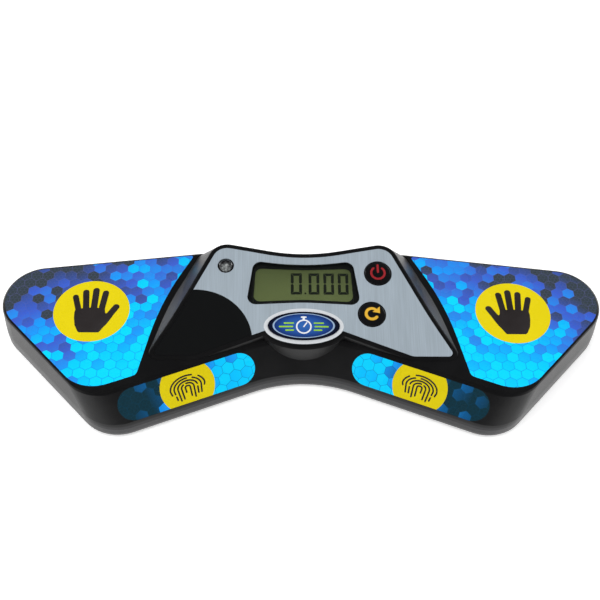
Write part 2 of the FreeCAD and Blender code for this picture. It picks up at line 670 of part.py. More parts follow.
def add_bay(body):
    """Battery bay: a box on the plate, open below, with the door's ledge and hinge slots."""
    half = "bay_length / 2"
    outer = box(sketch(body, "BayBox", "parting"), f"-({half} + bay_wall)", f"{half} + bay_wall",
                "bay_front - bay_wall", "bay_back + bay_wall")
    pad(body, outer, "bay_ceiling + bay_roof - parting")
    inner = box(sketch(body, "BayHollow", "foot_height"), f"-({half})", half, "bay_front",
                "bay_back")
    pocket(body, inner, "bay_ceiling - foot_height", up=True)
    ledge = box(sketch(body, "DoorSeat", "foot_height"), f"-({half} + door_ledge)",
                f"{half} + door_ledge", "bay_front - door_ledge", "bay_back + door_ledge")
    pocket(body, ledge, "door_thickness + door_gap", up=True)
    slots = sketch(body, "TabSlots", "foot_height + door_thickness - tab_thickness - tab_gap")
    for centre in ("tab_x", "-tab_x"):
        box(slots, f"{centre} - tab_width / 2 - tab_gap", f"{centre} + tab_width / 2 + tab_gap",
            "bay_front - door_ledge - tab_reach - tab_gap", "bay_front")
    pocket(body, slots, "tab_room", up=True)
    notch = discs(sketch(body, "FingerNotch", "foot_height"),
                  [("0", "bay_back + door_ledge - notch_radius + notch_reach")], "notch_radius")
    pocket(body, notch, "notch_depth", up=True)


# Films, foils and badge -------------------------------------------------------------------

def pad_films():
    """Printed films of the palm and finger pads, and the sensing foils behind the walls."""
    for side, tag in ((1, "right"), (-1, "left")):
        body = new_body("palm_overlay_" + tag)
        film = belt(sketch(body, "PalmFilm" + tag, "wing_height - film_thickness"),
                    palm_outline(side))
        pad(body, film, "film_thickness")
        body = new_body("finger_overlay_" + tag, finger_frame(side))
        film = belt(sketch(body, "FingerFilm" + tag, "-film_thickness"),
                    slot_outline("finger_length", "finger_width"))
        pad(body, film, "film_thickness")
        foils(side, tag)


def foils(side, tag):
    """Copper foils glued under the roof and behind the bevel."""
    sign = "" if side > 0 else "-"
    body = new_body("palm_sensor_" + tag)
    under = "roof_height - foil_thickness"
    disc = discs(sketch(body, "PalmFoil" + tag, under), [(sign + "palm_x", "palm_y")],
                 "palm_foil_radius")
    pad(body, disc, "foil_thickness")
    ends = ("foil_tail_x", "palm_x") if side > 0 else ("-palm_x", "-foil_tail_x")
    tail = box(sketch(body, "FoilTail" + tag, under), *ends, "palm_y - foil_tail_width / 2",
               "palm_y + foil_tail_width / 2")
    pad(body, tail, "foil_thickness")
    body = new_body("finger_sensor_" + tag, finger_frame(side))
    strip = belt(sketch(body, "FingerFoil" + tag, "-(bevel_wall + foil_thickness)"),
                 slot_outline("finger_foil_length", "finger_foil_width"))
    pad(body, strip, "foil_thickness")


def face_label():
    body = new_body("face_label", PANEL)
    low = "-label_thickness"
    pad(body, belt(sketch(body, "LabelField", low), label_outline()), "label_thickness")
    pad(body, oval(sketch(body, "LabelOval", low), "0"), "label_thickness")
    pocket(body, belt(sketch(body, "LabelWindow", "0"), window_outline("label_gap")),
           "label_thickness")
    pocket(body, discs(sketch(body, "LabelButtons", "0"),
                       [("power_x", "power_y"), ("reset_x", "reset_y")],
                       "button_radius + 1.6 * button_gap"), "label_thickness")
    pocket(body, discs(sketch(body, "LabelLens", "0"), [("lens_x", "lens_y")],
                       "lens_radius + lens_ring"), "label_thickness")


def badge_disc():
    body = new_body("badge_disc", PANEL)
    pad(body, oval(sketch(body, "BadgeField", "0"), "-badge_border"), "badge_thickness")
    dress(body, "Chamfer", level("badge_thickness"), "badge_soften", "BadgeEdge")


# Display ----------------------------------------------------------------------------------

def display():
    """Clear window, holder frame, glass and the rubber contact strips down to the board."""
    body = new_body("lcd_window", PANEL)
    plate = belt(sketch(body, "WindowPlate", "-(panel_wall + window_thickness)"),
                 window_outline("window_seat"))
    pad(body, plate, "window_thickness")

    body = new_body("lcd_frame", PANEL)
    frame = rectangle_at(body, "FrameBlock", "board_top", "glass_length", "glass_width",
                         "frame_wall + frame_gap")
    pad(body, frame, "board_depth - panel_wall - window_thickness")
    pocket(body, rectangle_at(body, "FrameHollow", "board_top", "glass_length", "glass_width",
                              "frame_gap"),
           "board_depth - panel_wall - window_thickness - frame_lip", up=True)
    view = box(sketch(body, "FrameView", "board_top"), "-view_length / 2", "view_length / 2",
               "view_y - view_width / 2", "view_y + view_width / 2")
    pocket(body, view, "board_depth", up=True)

    body = new_body("lcd_glass", PANEL)
    glass = rectangle_at(body, "GlassPlate", "glass_top - glass_thickness", "glass_length",
                         "glass_width", "0")
    pad(body, glass, "glass_thickness")

    body = new_body("zebra_strips", PANEL)
    strips = sketch(body, "Strips", "board_top")
    for front in ("glass_y - glass_width / 2", "glass_y + glass_width / 2 - strip_width"):
        box(strips, "-(glass_length / 2 - 2)", "glass_length / 2 - 2", front,
            f"{front} + strip_width")
    pad(body, strips, "board_depth + glass_top - glass_thickness")


def rectangle_at(body, name, height, length, width, grow):
    """A rectangle about the middle of the display glass."""
    across = f"({length}) / 2 + {grow}"
    along = f"({width}) / 2 + {grow}"
    return box(sketch(body, name, height), f"-({across})", across, f"glass_y - ({along})",
               f"glass_y + {along}")


def status_light():
    body = new_body("led_lens", PANEL)
    spot = [("lens_x", "lens_y")]
    low = "-(panel_wall + lens_flange_thickness)"
    pad(body, discs(sketch(body, "LensFlange", low), spot, "lens_radius + lens_flange"),
        "lens_flange_thickness")
    pad(body, discs(sketch(body, "LensBarrel", low), spot, "lens_radius"),
        "panel_wall + lens_flange_thickness + lens_dome")
    dress(body, "Chamfer", level("lens_dome"), "lens_dome * 0.7", "LensDome")
    body = new_body("status_led", PANEL)
    pad(body, discs(sketch(body, "LedBase", "board_top"), spot, "led_radius + 0.4"), "1")
    pad(body, discs(sketch(body, "LedBody", "board_top"), spot, "led_radius"), "led_height")
    dress(body, "Chamfer", level("led_height - board_depth"), "led_radius * 0.5", "LedDome")


# Buttons ----------------------------------------------------------------------------------

def button(name, tag, x, y):
    """A round key with a flange under the panel and a stem down to its switch."""
    body = new_body(name, PANEL)
    spot = [(x, y)]
    pad(body, discs(sketch(body, tag + "Flange", "flange_bottom"), spot,
                    "button_radius + button_flange"), "button_flange_thickness")
    pad(body, discs(sketch(body, tag + "Cap", "flange_bottom"), spot, "button_radius"),
        "button_proud - flange_bottom")
    dress(body, "Chamfer", level("button_proud"), "button_soften", tag + "Crown")
    stem = "board_depth + flange_bottom - plunger_top - button_travel - switch_gap"
    pad(body, discs(sketch(body, tag + "Stem", "flange_bottom"), spot, "button_stem_radius"),
        stem, up=False)


def switch(name, tag, x, y):
    """A square push switch on the board, with a round plunger."""
    body = new_body(name, PANEL)
    case = box(sketch(body, tag + "Case", "board_top"), f"{x} - switch_size / 2",
               f"{x} + switch_size / 2", f"{y} - switch_size / 2", f"{y} + switch_size / 2")
    pad(body, case, "switch_height")
    pad(body, discs(sketch(body, tag + "Plunger", "board_top"), [(x, y)], "plunger_radius"),
        "plunger_top")


# Circuit board ----------------------------------------------------------------------------

def circuit_board():
    body = new_body("main_board", PANEL)
    half = "board_length / 2 - board_round"
    rounds = [(half, "board_front + board_round", "board_round", 1),
              (half, "board_rear - board_round", "board_round", 1)]
    outline = belt(sketch(body, "BoardOutline", "board_top - board_thickness"),
                   rounds + mirrored_rounds(rounds))
    pad(body, outline, "board_thickness")
    pocket(body, discs(sketch(body, "BoardHoles", "board_top"), BOARD_SCREWS,
                       "board_screw_radius + 2 * screw_gap"), "board_thickness")

    under = "board_top - board_thickness"
    body = new_body("timer_chip", PANEL)
    chip = box(sketch(body, "Chip", under), "-chip_size / 2", "chip_size / 2",
               "board_side_y - chip_size / 2", "board_side_y + chip_size / 2")
    pad(body, chip, "chip_thickness", up=False)

    body = new_body("board_screws", PANEL)
    pad(body, discs(sketch(body, "BoardScrewHeads", under), BOARD_SCREWS,
                    "board_screw_radius * 2"), "board_screw_radius * 1.3", up=False)
    pad(body, discs(sketch(body, "BoardScrewShanks", under), BOARD_SCREWS,
                    "board_screw_radius"), "board_screw_length - 0.5")


def quartz_crystal():
    """A small metal can that lies under the board."""
    body = new_body("quartz_crystal", PANEL)
    drawing = body.newObject("Sketcher::SketchObject", "CrystalEnd")
    drawing.AttachmentSupport = [(plane(body, "YZ_Plane"), "")]
    drawing.MapMode = "FlatFace"
    drawing.setExpression("AttachmentOffset.Base.z", linked("-(chip_size + 2 * crystal_length)"))
    discs(drawing, [("board_side_y", "board_top - board_thickness - crystal_radius")],
          "crystal_radius")
    pad(body, drawing, "crystal_length")


# Power ------------------------------------------------------------------------------------

def along_x(body, name, start):
    """A sketch in the YZ plane, `start` along X."""
    drawing = body.newObject("Sketcher::SketchObject", name)
    drawing.AttachmentSupport = [(plane(body, "YZ_Plane"), "")]
    drawing.MapMode = "FlatFace"
    drawing.setExpression("AttachmentOffset.Base.z", linked(start))
    return drawing


def batteries():
    """Two cells side by side, nose to tail, with their contacts and springs."""
    for name, y, way in (("battery_front", "bay_y - cell_pitch / 2", 1),
                         ("battery_rear", "bay_y + cell_pitch / 2", -1)):
        body = new_body(name)
        nub_end = "bay_length / 2 - contact_thickness"
        face = f"({nub_end} - cell_nub)"
        start = face if way > 0 else f"-{face}"
        can = discs(along_x(body, name + "Can", start), [(y, "cell_height")], "cell_radius")
        pad(body, can, "cell_length", up=way < 0)
        nub = discs(along_x(body, name + "Nub", start), [(y, "cell_height")], "cell_nub_radius")
        pad(body, nub, "cell_nub", up=way > 0)

    body = new_body("battery_contacts")
    for tag, start in (("East", "bay_length / 2 - contact_thickness"), ("West", "-bay_length / 2")):
        plates = along_x(body, "Contacts" + tag, start)
        for y in ("bay_y - cell_pitch / 2", "bay_y + cell_pitch / 2"):
            box(plates, f"{y} - contact_width / 2", f"{y} + contact_width / 2",
                "cell_height - contact_width / 2", "cell_height + contact_width / 2")
        pad(body, plates, "contact_thickness")


def battery_springs():
    """Coil springs between the contact plates and the flat ends of the cells."""
    body = new_body("battery_springs")
    for tag, y, way in (("Front", "bay_y - cell_pitch / 2", -1), ("Rear", "bay_y + cell_pitch / 2", 1)):
        start = f"{way} * (bay_length / 2 - contact_thickness - spring_wire)"
        drawing = body.newObject("Sketcher::SketchObject", "Spring" + tag)
        drawing.AttachmentSupport = [(plane(body), "")]
        drawing.MapMode = "FlatFace"
        drawing.setExpression("AttachmentOffset.Base.x", linked(start))
        drawing.setExpression("AttachmentOffset.Base.y", linked(y))
        drawing.setExpression("AttachmentOffset.Base.z", linked("cell_height"))
        box(drawing, "-spring_wire", "spring_wire", "spring_radius - spring_wire",
            "spring_radius + spring_wire")
        coil = body.newObject("PartDesign::AdditiveHelix", f"Coil{tag}")
        coil.Profile = drawing
        coil.ReferenceAxis = (drawing, ["H_Axis"])
        coil.Mode = "height-turns-angle"
        coil.setExpression("Height", linked("spring_length"))
        coil.setExpression("Turns", linked("spring_turns"))
        coil.Reversed = way > 0


def battery_door():
    body = new_body("battery_door")
    half = "bay_length / 2 + door_ledge - door_gap"
    front, back = "bay_front - door_ledge + door_gap", "bay_back + door_ledge - door_gap"
    plate = box(sketch(body, "DoorPlate", "foot_height"), f"-({half})", half, front, back)
    pad(body, plate, "door_thickness")
    tabs = sketch(body, "DoorTabs", "door_top - tab_thickness")
    for centre in ("tab_x", "-tab_x"):
        box(tabs, f"{centre} - tab_width / 2", f"{centre} + tab_width / 2",
            f"{front} - tab_reach", f"{front} + 1")
    pad(body, tabs, "tab_thickness")
    notch = discs(sketch(body, "DoorNotch", "foot_height"),
                  [("0", "bay_back + door_ledge - notch_radius + notch_reach")], "notch_radius")
    pocket(body, notch, "notch_depth", up=True)


# Data socket ------------------------------------------------------------------------------

def data_socket():
    body = new_body("data_jack")
    inner = "jack_face - wall - jack_gap"
    case = box(sketch(body, "JackCase", "jack_height - jack_tall / 2"), "-jack_width / 2",
               "jack_width / 2", f"{inner} - jack_length", inner)
    pad(body, case, "jack_tall")
    nose = discs(upright(body, "JackNose", inner), [("0", "jack_height")], "jack_nose_radius")
    pad(body, nose, "wall + jack_gap", up=False)
    bore = discs(upright(body, "JackBore", "jack_face"), [("0", "jack_height")],
                 "jack_bore_radius")
    pocket(body, bore, "jack_bore_depth", up=True)
    body = new_body("jack_board")
    plate = box(sketch(body, "JackBoard",
                       "jack_height - jack_tall / 2 - jack_board_thickness"),
                "-jack_board_length / 2", "jack_board_length / 2",
                f"{inner} - jack_board_width", inner)
    pad(body, plate, "jack_board_thickness")


def upright(body, name, y):
    """A sketch in the XZ plane at a distance along Y."""
    drawing = body.newObject("Sketcher::SketchObject", name)
    drawing.AttachmentSupport = [(plane(body, "XZ_Plane"), "")]
    drawing.MapMode = "FlatFace"
    drawing.setExpression("AttachmentOffset.Base.z", linked(f"-({y})"))
    return drawing


# Feet and fasteners -----------------------------------------------------------------------

def feet_and_screws():
    body = new_body("rubber_feet")
    pad(body, discs(sketch(body, "Feet", "0"), FEET, "foot_radius"), "foot_height + foot_seat")
    body = new_body("housing_screws")
    pad(body, discs(sketch(body, "ScrewHeads", "screw_seat"), HOUSING_SCREWS,
                    "screw_head_radius"), "screw_head")
    pad(body, discs(sketch(body, "ScrewShanks", "screw_seat"), HOUSING_SCREWS, "screw_radius"),
        "screw_length")
    pocket(body, discs(sketch(body, "ScrewDrives", "screw_seat"), HOUSING_SCREWS,
                       "drive_radius"),
           "drive_depth", up=True)


# Export -----------------------------------------------------------------------------------

CUTTERS = ("display_hump", "badge_nose", "wing_hollow", "display_hollow", "nose_hollow")


def check_and_export():
    """Stop on a failed feature or a bad shape, and write one STEP file for each piece."""
    doc.recompute()
    failed = [item.Name for item in doc.Objects
              if any(state in ("Invalid", "Error") for state in item.State)]
    if failed:
        sys.exit("failed: " + ", ".join(failed))
    pieces = [item for item in doc.Objects
              if item.TypeId == "PartDesign::Body" and item.Name not in CUTTERS]
    bad = [item.Name for item in pieces
           if item.Shape.isNull() or not item.Shape.isValid() or not item.Shape.Solids]
    if bad:
        sys.exit("bad shape: " + ", ".join(bad))
    os.makedirs("parts", exist_ok=True)
    for item in pieces:
        item.Shape.exportStep(f"parts/{item.Label}.step")
        print(item.Label, len(item.Shape.Solids), round(item.Shape.Volume, 2))


add_sheets()
probe = doc.addObject("Spreadsheet::Sheet", "Probe")
top_shell()
bottom_shell()
pad_films()
face_label()
badge_disc()
display()
status_light()
button("power_button", "Power", "power_x", "power_y")
button("reset_button", "Reset", "reset_x", "reset_y")
switch("power_switch", "PowerSwitch", "power_x", "power_y")
switch("reset_switch", "ResetSwitch", "reset_x", "reset_y")
circuit_board()
quartz_crystal()
batteries()
battery_springs()
battery_door()
data_socket()
feet_and_screws()
check_and_export()
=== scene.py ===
"""Looks of the speed cube timer: finishes, prints, keys, screws, camera and studio."""
import math

import bmesh
import bpy
from bpy.props import (FloatProperty, FloatVectorProperty, IntProperty, PointerProperty,
                       StringProperty)
from mathutils import Matrix, Vector


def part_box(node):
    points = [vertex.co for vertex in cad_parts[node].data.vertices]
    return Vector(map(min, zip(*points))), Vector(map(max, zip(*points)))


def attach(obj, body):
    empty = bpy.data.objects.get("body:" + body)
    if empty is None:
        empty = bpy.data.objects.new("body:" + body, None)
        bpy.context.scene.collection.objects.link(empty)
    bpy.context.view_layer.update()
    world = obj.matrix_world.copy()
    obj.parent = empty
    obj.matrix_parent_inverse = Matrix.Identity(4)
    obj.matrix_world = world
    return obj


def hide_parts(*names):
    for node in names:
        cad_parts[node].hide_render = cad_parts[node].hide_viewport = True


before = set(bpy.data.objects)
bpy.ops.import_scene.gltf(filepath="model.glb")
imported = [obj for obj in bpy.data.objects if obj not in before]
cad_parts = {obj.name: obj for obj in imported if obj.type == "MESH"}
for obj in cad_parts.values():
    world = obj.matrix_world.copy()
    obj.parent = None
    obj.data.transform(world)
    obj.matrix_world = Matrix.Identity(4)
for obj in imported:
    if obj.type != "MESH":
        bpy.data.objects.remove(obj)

bl_info = {
    "name": "Touch Timer Looks",
    "version": (1, 0, 0),
    "blender": (4, 5, 0),
    "location": "View3D > Sidebar > Timer",
    "description": "Builds the prints, keys, screws and finishes of a touch timer on its frame",
    "category": "Object",
}

MM = 0.001
HOME = "housing"
SIDES = ((1, "right"), (-1, "left"))

# Places are in millimetres and turns in degrees, each on the detail's own face
WING_TOP, PANEL_TILT, BEVEL_TURN, BEVEL_SLOPE = 22.5, 10.5, 21.867, 51.46
PALM_SPOT, FINGER_SPOT, LENS_SPOT = (99.7, 9.2), (59.2, -9), (-37, 31.2)
POWER_SPOT, RESET_SPOT = (35.6, 27.4), (31.9, 5.6)
SIGN_THICKNESS = 0.06


# Frames -----------------------------------------

def moved(matrix, x, y, z=0):
    """A frame shifted along its own axes."""
    return matrix @ Matrix.Translation((x * MM, y * MM, z * MM))


def turned(matrix, degrees, axis):
    return matrix @ Matrix.Rotation(math.radians(degrees), 4, axis)


PANEL = turned(moved(Matrix(), 0, -1.05, 26), PANEL_TILT, "X")
BADGE = moved(PANEL, 0, -0.7)


def finger_frame(side):
    """Middle of a finger pad: +X outwards along the bevel, +Z out of its face."""
    edge = turned(moved(Matrix(), 0, -0.9928, WING_TOP), -BEVEL_TURN * side, "Z")
    return moved(turned(edge, BEVEL_SLOPE, "X"), side * FINGER_SPOT[0], FINGER_SPOT[1])


def palm_frame(side):
    """Middle of a palm pad's target, on the film's face."""
    return moved(Matrix(), side * PALM_SPOT[0], PALM_SPOT[1], WING_TOP)


def surface(matrix, height=lambda x, y: 0):
    """Place function of a face; `height` gives a crowned face its rise over a point."""
    return lambda x, y, z: matrix @ Vector((x * MM, y * MM, (z + height(x, y)) * MM))


# Meshes -----------------------------------------

def add_object(name, data):
    made = bpy.data.objects.new(name, data)
    bpy.context.scene.collection.objects.link(made)
    return made


def piece_from(name, shape, body, material=None, smooth_angle=None):
    """A piece at the origin that rides on a body, from a mesh or from a bmesh of closed parts."""
    mesh = shape
    if isinstance(shape, bmesh.types.BMesh):
        bmesh.ops.recalc_face_normals(shape, faces=shape.faces[:])
        mesh = bpy.data.meshes.new(name)
        shape.to_mesh(mesh)
        shape.free()
    if smooth_angle:
        mesh.shade_smooth()
        mesh.set_sharp_from_angle(angle=math.radians(smooth_angle))
    piece = add_object(name, mesh)
    if material:
        mesh.materials.append(material)
    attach(piece, body)
    return piece


def arc(radius, start, stop, steps, centre=(0, 0)):
    """Points of an arc, from one angle to another in degrees."""
    angles = [math.radians(start + (stop - start) * i / steps) for i in range(steps + 1)]
    return [(centre[0] + radius * math.cos(a), centre[1] + radius * math.sin(a)) for a in angles]


def stroke(path, width):
    """The outline of a pen stroke with round ends along a path, as two sides of equal length."""
    half = width / 2
    points = [Vector(point) for point in path]
    left, right = [], []
    for i, point in enumerate(points):
        way = (points[min(i + 1, len(points) - 1)] - points[max(i - 1, 0)]).normalized()
        across = Vector((-way.y, way.x)) * half
        left.append(point + across)
        right.append(point - across)
    for first, end, way in ((True, points[0], points[0] - points[1]),
                            (False, points[-1], points[-1] - points[-2])):
        way = way.normalized() * half
        across = Vector((-way.y, way.x))
        for turn in (30, 60, 80):
            reached = end + way * math.sin(math.radians(turn))
            aside = across * math.cos(math.radians(turn))
            if first:
                left.insert(0, reached - aside)
                right.insert(0, reached + aside)
            else:
                left.append(reached + aside)
                right.append(reached - aside)
    return left, right


def skin(shape, rows):
    """Faces from each closed row of points to the next; a row may be a single point."""
    for near, far in zip(rows, rows[1:]):
        for i in range(max(len(near), len(far))):
            j = i + 1
            corners = (near[i % len(near)], near[j % len(near)], far[j % len(far)],
                       far[i % len(far)])
            shape.faces.new(list(dict.fromkeys(corners)))


def raised(name, place, strips, thickness, body, ink):
    """A piece of thin raised strips on a face; each is (its two sides, its lift)."""
    shape = bmesh.new()
    for sides, lift in strips:
        low = lift - thickness
        rows = [[shape.verts.new(place(point.x, point.y, height)) for point, height in (
            (a, lift), (b, lift), (b, low), (a, low))] for a, b in zip(*sides)]
        skin(shape, rows)
        shape.faces.new(rows[0][::-1])
        shape.faces.new(rows[-1])
    return piece_from(name, shape, body, ink)


def add_patch(shape, place, outline, lift, thickness):
    """A thin raised patch inside one closed outline."""
    top, low = ([shape.verts.new(place(x, y, height)) for x, y in outline]
                for height in (lift, lift - thickness))
    faces = [shape.faces.new(top), shape.faces.new(low[::-1])]
    skin(shape, [top, low])
    for face in faces:
        face.normal_update()
    bmesh.ops.triangulate(shape, faces=faces)


def rounded(corners, radii, steps=10):
    """A closed outline through corners, each turned by an arc."""
    outline = []
    for i, (corner, radius) in enumerate(zip(corners, radii)):
        here = Vector(corner)
        back = (Vector(corners[i - 1]) - here).normalized()
        ahead = (Vector(corners[(i + 1) % len(corners)]) - here).normalized()
        half = back.angle(ahead) / 2
        centre = here + (back + ahead).normalized() * radius / math.sin(half)
        start, stop = (here + way * radius / math.tan(half) - centre for way in (back, ahead))
        turn = start.angle_signed(stop)
        outline += [tuple(centre + Matrix.Rotation(-turn * step / steps, 2) @ start)
                    for step in range(steps + 1)]
    return outline


def lathe(shape, place, profile, steps=64):
    """A turned form: profile points are (radius, height) from the axis out and back to it."""
    rings = []
    for radius, height in profile:
        spots = arc(radius, 0, 360, steps)[:-1] if radius else [(0, 0)]
        rings.append([shape.verts.new(place(x, y, height)) for x, y in spots])
    skin(shape, rings)


# Finishes: helpers add to the tree of their first socket

def put(tree, kind, inputs=None, **settings):
    """A node with its settings; an input that is a socket is linked, any other is a value."""
    made = tree.nodes.new(kind)
    for name, value in settings.items():
        setattr(made, name, value)
    for name, value in (inputs or {}).items():
        if isinstance(value, bpy.types.NodeSocket):
            tree.links.new(value, made.inputs[name])
        else:
            made.inputs[name].default_value = value
    return made


def maths(operation, a, b=0.0, c=0.0, clamp=False):
    return put(a.id_data, "ShaderNodeMath", {0: a, 1: b, 2: c}, operation=operation,
               use_clamp=clamp).outputs[0]


def vectors(operation, a, b=(0, 0, 0)):
    made = put(a.id_data, "ShaderNodeVectorMath", {0: a, 1: b}, operation=operation)
    return made.outputs[1 if operation in ("LENGTH", "DISTANCE", "DOT_PRODUCT") else 0]


def along(vector, axis):
    """One coordinate of a vector."""
    return put(vector.id_data, "ShaderNodeSeparateXYZ", {0: vector}).outputs[axis]


def reach(point, wide=1, tall=1):
    """Distance from the middle of a face, as a share of an oval's half width and half height."""
    return vectors("LENGTH", vectors("MULTIPLY", point, (1 / wide, 1 / tall, 0)))


def fitted(value, low, high, start, stop):
    """A value carried from one range to another."""
    return put(value.id_data, "ShaderNodeMapRange", {
        "Value": value, "From Min": low, "From Max": high, "To Min": start,
        "To Max": stop}).outputs[0]


def spread(factor, low, high):
    """A factor from 0 to 1 stretched to a range."""
    return maths("MULTIPLY_ADD", factor, high - low, low)


def grey(value):
    return (value, value, value)


def blend_colours(factor, first, second):
    first, second = (tone if isinstance(tone, bpy.types.NodeSocket) else (*tone, 1)
                     for tone in (first, second))
    return put(factor.id_data, "ShaderNodeMix", {0: factor, 6: first, 7: second},
               data_type="RGBA").outputs[2]


def ramp(factor, stops):
    """Colours by a factor; stops are (place, colour)."""
    made = put(factor.id_data, "ShaderNodeValToRGB", {0: factor})
    points = made.color_ramp.elements
    for point, (place, tone) in zip(points, (stops[0], stops[-1])):
        point.position, point.color = place, (*tone, 1)
    for place, tone in stops[1:-1]:
        points.new(place).color = (*tone, 1)
    return made.outputs[0]


def noise(where, scale, detail=2.0, stretch=None):
    if stretch:
        where = vectors("MULTIPLY", where, stretch)
    return put(where.id_data, "ShaderNodeTexNoise", {
        "Vector": where, "Scale": scale, "Detail": detail}).outputs[0]


def new_finish(name, **fixed):
    """A material, its shader and the piece's own coordinates; `fixed` are shader values."""
    material = bpy.data.materials.new(name)
    material.use_nodes = True
    shader = material.node_tree.nodes["Principled BSDF"]
    for key, value in fixed.items():
        shader.inputs[key.replace("_", " ")].default_value = value
    return material, shader, put(material.node_tree, "ShaderNodeTexCoord").outputs["Object"]


def paint(shader, tone, rough=None):
    """Gives a shader its colour, and its roughness where that varies."""
    links = shader.id_data.links
    links.new(tone, shader.inputs["Base Color"])
    if rough:
        links.new(rough, shader.inputs["Roughness"])


def relief(shader, height, depth, strength=1.0):
    bumps = put(shader.id_data, "ShaderNodeBump", {
        "Height": height, "Distance": depth, "Strength": strength})
    shader.id_data.links.new(bumps.outputs[0], shader.inputs["Normal"])


def moulded(name, dark, light, rough, grain=2600, depth=0.00004, **fixed):
    """Moulded plastic, rubber or ink: a fine grain, and soft patches of tone and gloss."""
    material, shader, where = new_finish(name, **fixed)
    tone = noise(where, 60, 4.0)
    paint(shader, ramp(tone, [(0.3, dark), (0.7, light)]), spread(tone, *rough))
    relief(shader, noise(where, grain, 3.0), depth)
    return material


def drawn_metal(name, dark, light, rough, stretch=(1, 1, 1)):
    """Drawn or rolled metal with fine lines along one direction."""
    material, shader, where = new_finish(name, Metallic=1.0)
    lines = noise(where, 900, 3.0, stretch)
    paint(shader, ramp(lines, [(0.25, dark), (0.75, light)]), spread(noise(where, 120), *rough))
    relief(shader, lines, 0.00002, 0.5)
    return material


def dress(material, *names):
    """Gives carried-over pieces their finish."""
    for name in names:
        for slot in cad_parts[name].material_slots:
            slot.material = material


def local_point(where, matrix, side=1):
    """The piece's coordinates in a frame of its own, in millimetres, mirrored for the left."""
    return put(where.id_data, "ShaderNodeMapping", {
        "Vector": where, "Location": matrix.translation, "Rotation": matrix.to_euler(),
        "Scale": (side * MM, MM, MM)}, vector_type="TEXTURE").outputs[0]


def hexagons(point, pitch):
    """Hexagonal tiles: an identity for each tile, and 0.5 at its rim falling to 0 inside."""
    height = math.sqrt(3)
    point = vectors("MULTIPLY", point, (1 / pitch, 1 / pitch, 0))
    share = vectors("DIVIDE", point, (1.0, height, 1.0))
    found = []
    for shift in (0.0, 0.5):
        inside = vectors("FRACTION", vectors("ADD", share, (shift, shift, 0)))
        inside = vectors("SUBTRACT", inside, (0.5, 0.5, 0))
        found.append(vectors("MULTIPLY", inside, (1.0, height, 0)))
    near = maths("LESS_THAN", vectors("LENGTH", found[0]), vectors("LENGTH", found[1]))
    inner = put(point.id_data, "ShaderNodeMix", {0: near, 4: found[1], 5: found[0]},
                data_type="VECTOR").outputs[1]
    middle = vectors("ADD", vectors("SUBTRACT", point, inner), (0.01, 0.01, 0))
    inner = vectors("ABSOLUTE", inner)
    slant = vectors("DOT_PRODUCT", inner, (0.5, height / 2, 0))
    return vectors("SNAP", middle, (0.25, 0.25, 1)), maths("MAXIMUM", slant, along(inner, 0))


# Properties -------------------------------------

def colour(name, text, value):
    return FloatVectorProperty(name=name, description=text, default=value, size=3,
                               subtype="COLOR", min=0, max=1)


def length(name, text, value):
    return FloatProperty(name=name, description=text, default=value * MM, subtype="DISTANCE",
                         unit="LENGTH", min=0)


class TimerColours(bpy.types.PropertyGroup):
    """Colours of the mouldings and prints"""
    housing: colour("Housing", "Moulded housing", (0.0058, 0.0058, 0.0062))
    silver: colour("Silver", "Brushed field of the label", (0.40, 0.47, 0.53))
    ink: colour("Ink", "Black print", (0.0062, 0.0068, 0.0072))
    target: colour("Target", "Round target of the pads", (0.71, 0.58, 0.003))
    tile_low: colour("Dull tile", "Dullest tile of the palm pads", (0.036, 0.050, 0.062))
    tile_mid: colour("Middle tile", "Middle tile of the palm pads", (0.040, 0.105, 0.56))
    tile_high: colour("Blue tile", "Blue tile of the pads", (0.008, 0.29, 0.84))
    tile_top: colour("Bright tile", "Brightest tile of the pads", (0.0, 0.50, 1.0))
    tip_low: colour("Dull tip", "Dullest tile of the finger pads", (0.005, 0.030, 0.046))
    tip_mid: colour("Middle tip", "Middle tile of the finger pads", (0.004, 0.095, 0.27))
    power_mark: colour("Power mark", "Symbol of the power key", (0.34, 0.016, 0.022))
    reset_mark: colour("Reset mark", "Symbol of the reset key", (0.72, 0.41, 0.03))
    display: colour("Display", "Unlit field of the display", (0.138, 0.176, 0.062))


class TimerSizes(bpy.types.PropertyGroup):
    """Sizes of the prints and keys"""
    tile: length("Tile", "Width of a tile on the pads", 5.4)
    palm_target: length("Palm target", "Radius of the palm pads' targets", 17.8)
    finger_target: length("Finger target", "Radius of the finger pads' targets", 12.75)
    print_lift: length("Print lift", "Height of the pads' signs over their film", 0.03)
    segment: length("Segment", "Width of the display's bars", 1.35)
    key_crown: length("Key crown", "Rise of the keys' crowned faces", 0.45)


class TimerStage(bpy.types.PropertyGroup):
    """Floor, light and camera"""
    floor_size: FloatProperty(name="Floor", description="Width of the floor", default=6.0,
                              unit="LENGTH", subtype="DISTANCE", min=1)
    floor_colour: colour("Floor colour", "Pale floor", (0.90, 0.90, 0.90))
    key_light: FloatProperty(name="Key light", description="Power of the main softbox",
                             default=5.6, unit="POWER", min=0)
    camera_place: FloatVectorProperty(name="Camera", description="Place of the camera",
                                      default=(-0.01266, -0.2657, 0.38703), size=3,
                                      subtype="TRANSLATION", unit="LENGTH")
    camera_lens: FloatProperty(name="Lens", description="Focal length in millimetres",
                               default=57.92, min=10, unit="CAMERA")


def tint(name):
    """A colour of the panel."""
    return Vector(getattr(bpy.context.scene.timer_colours, name))


def size(name):
    """A size of the panel, in millimetres."""
    return getattr(bpy.context.scene.timer_sizes, name) / MM


# Housing and label ------------------------------

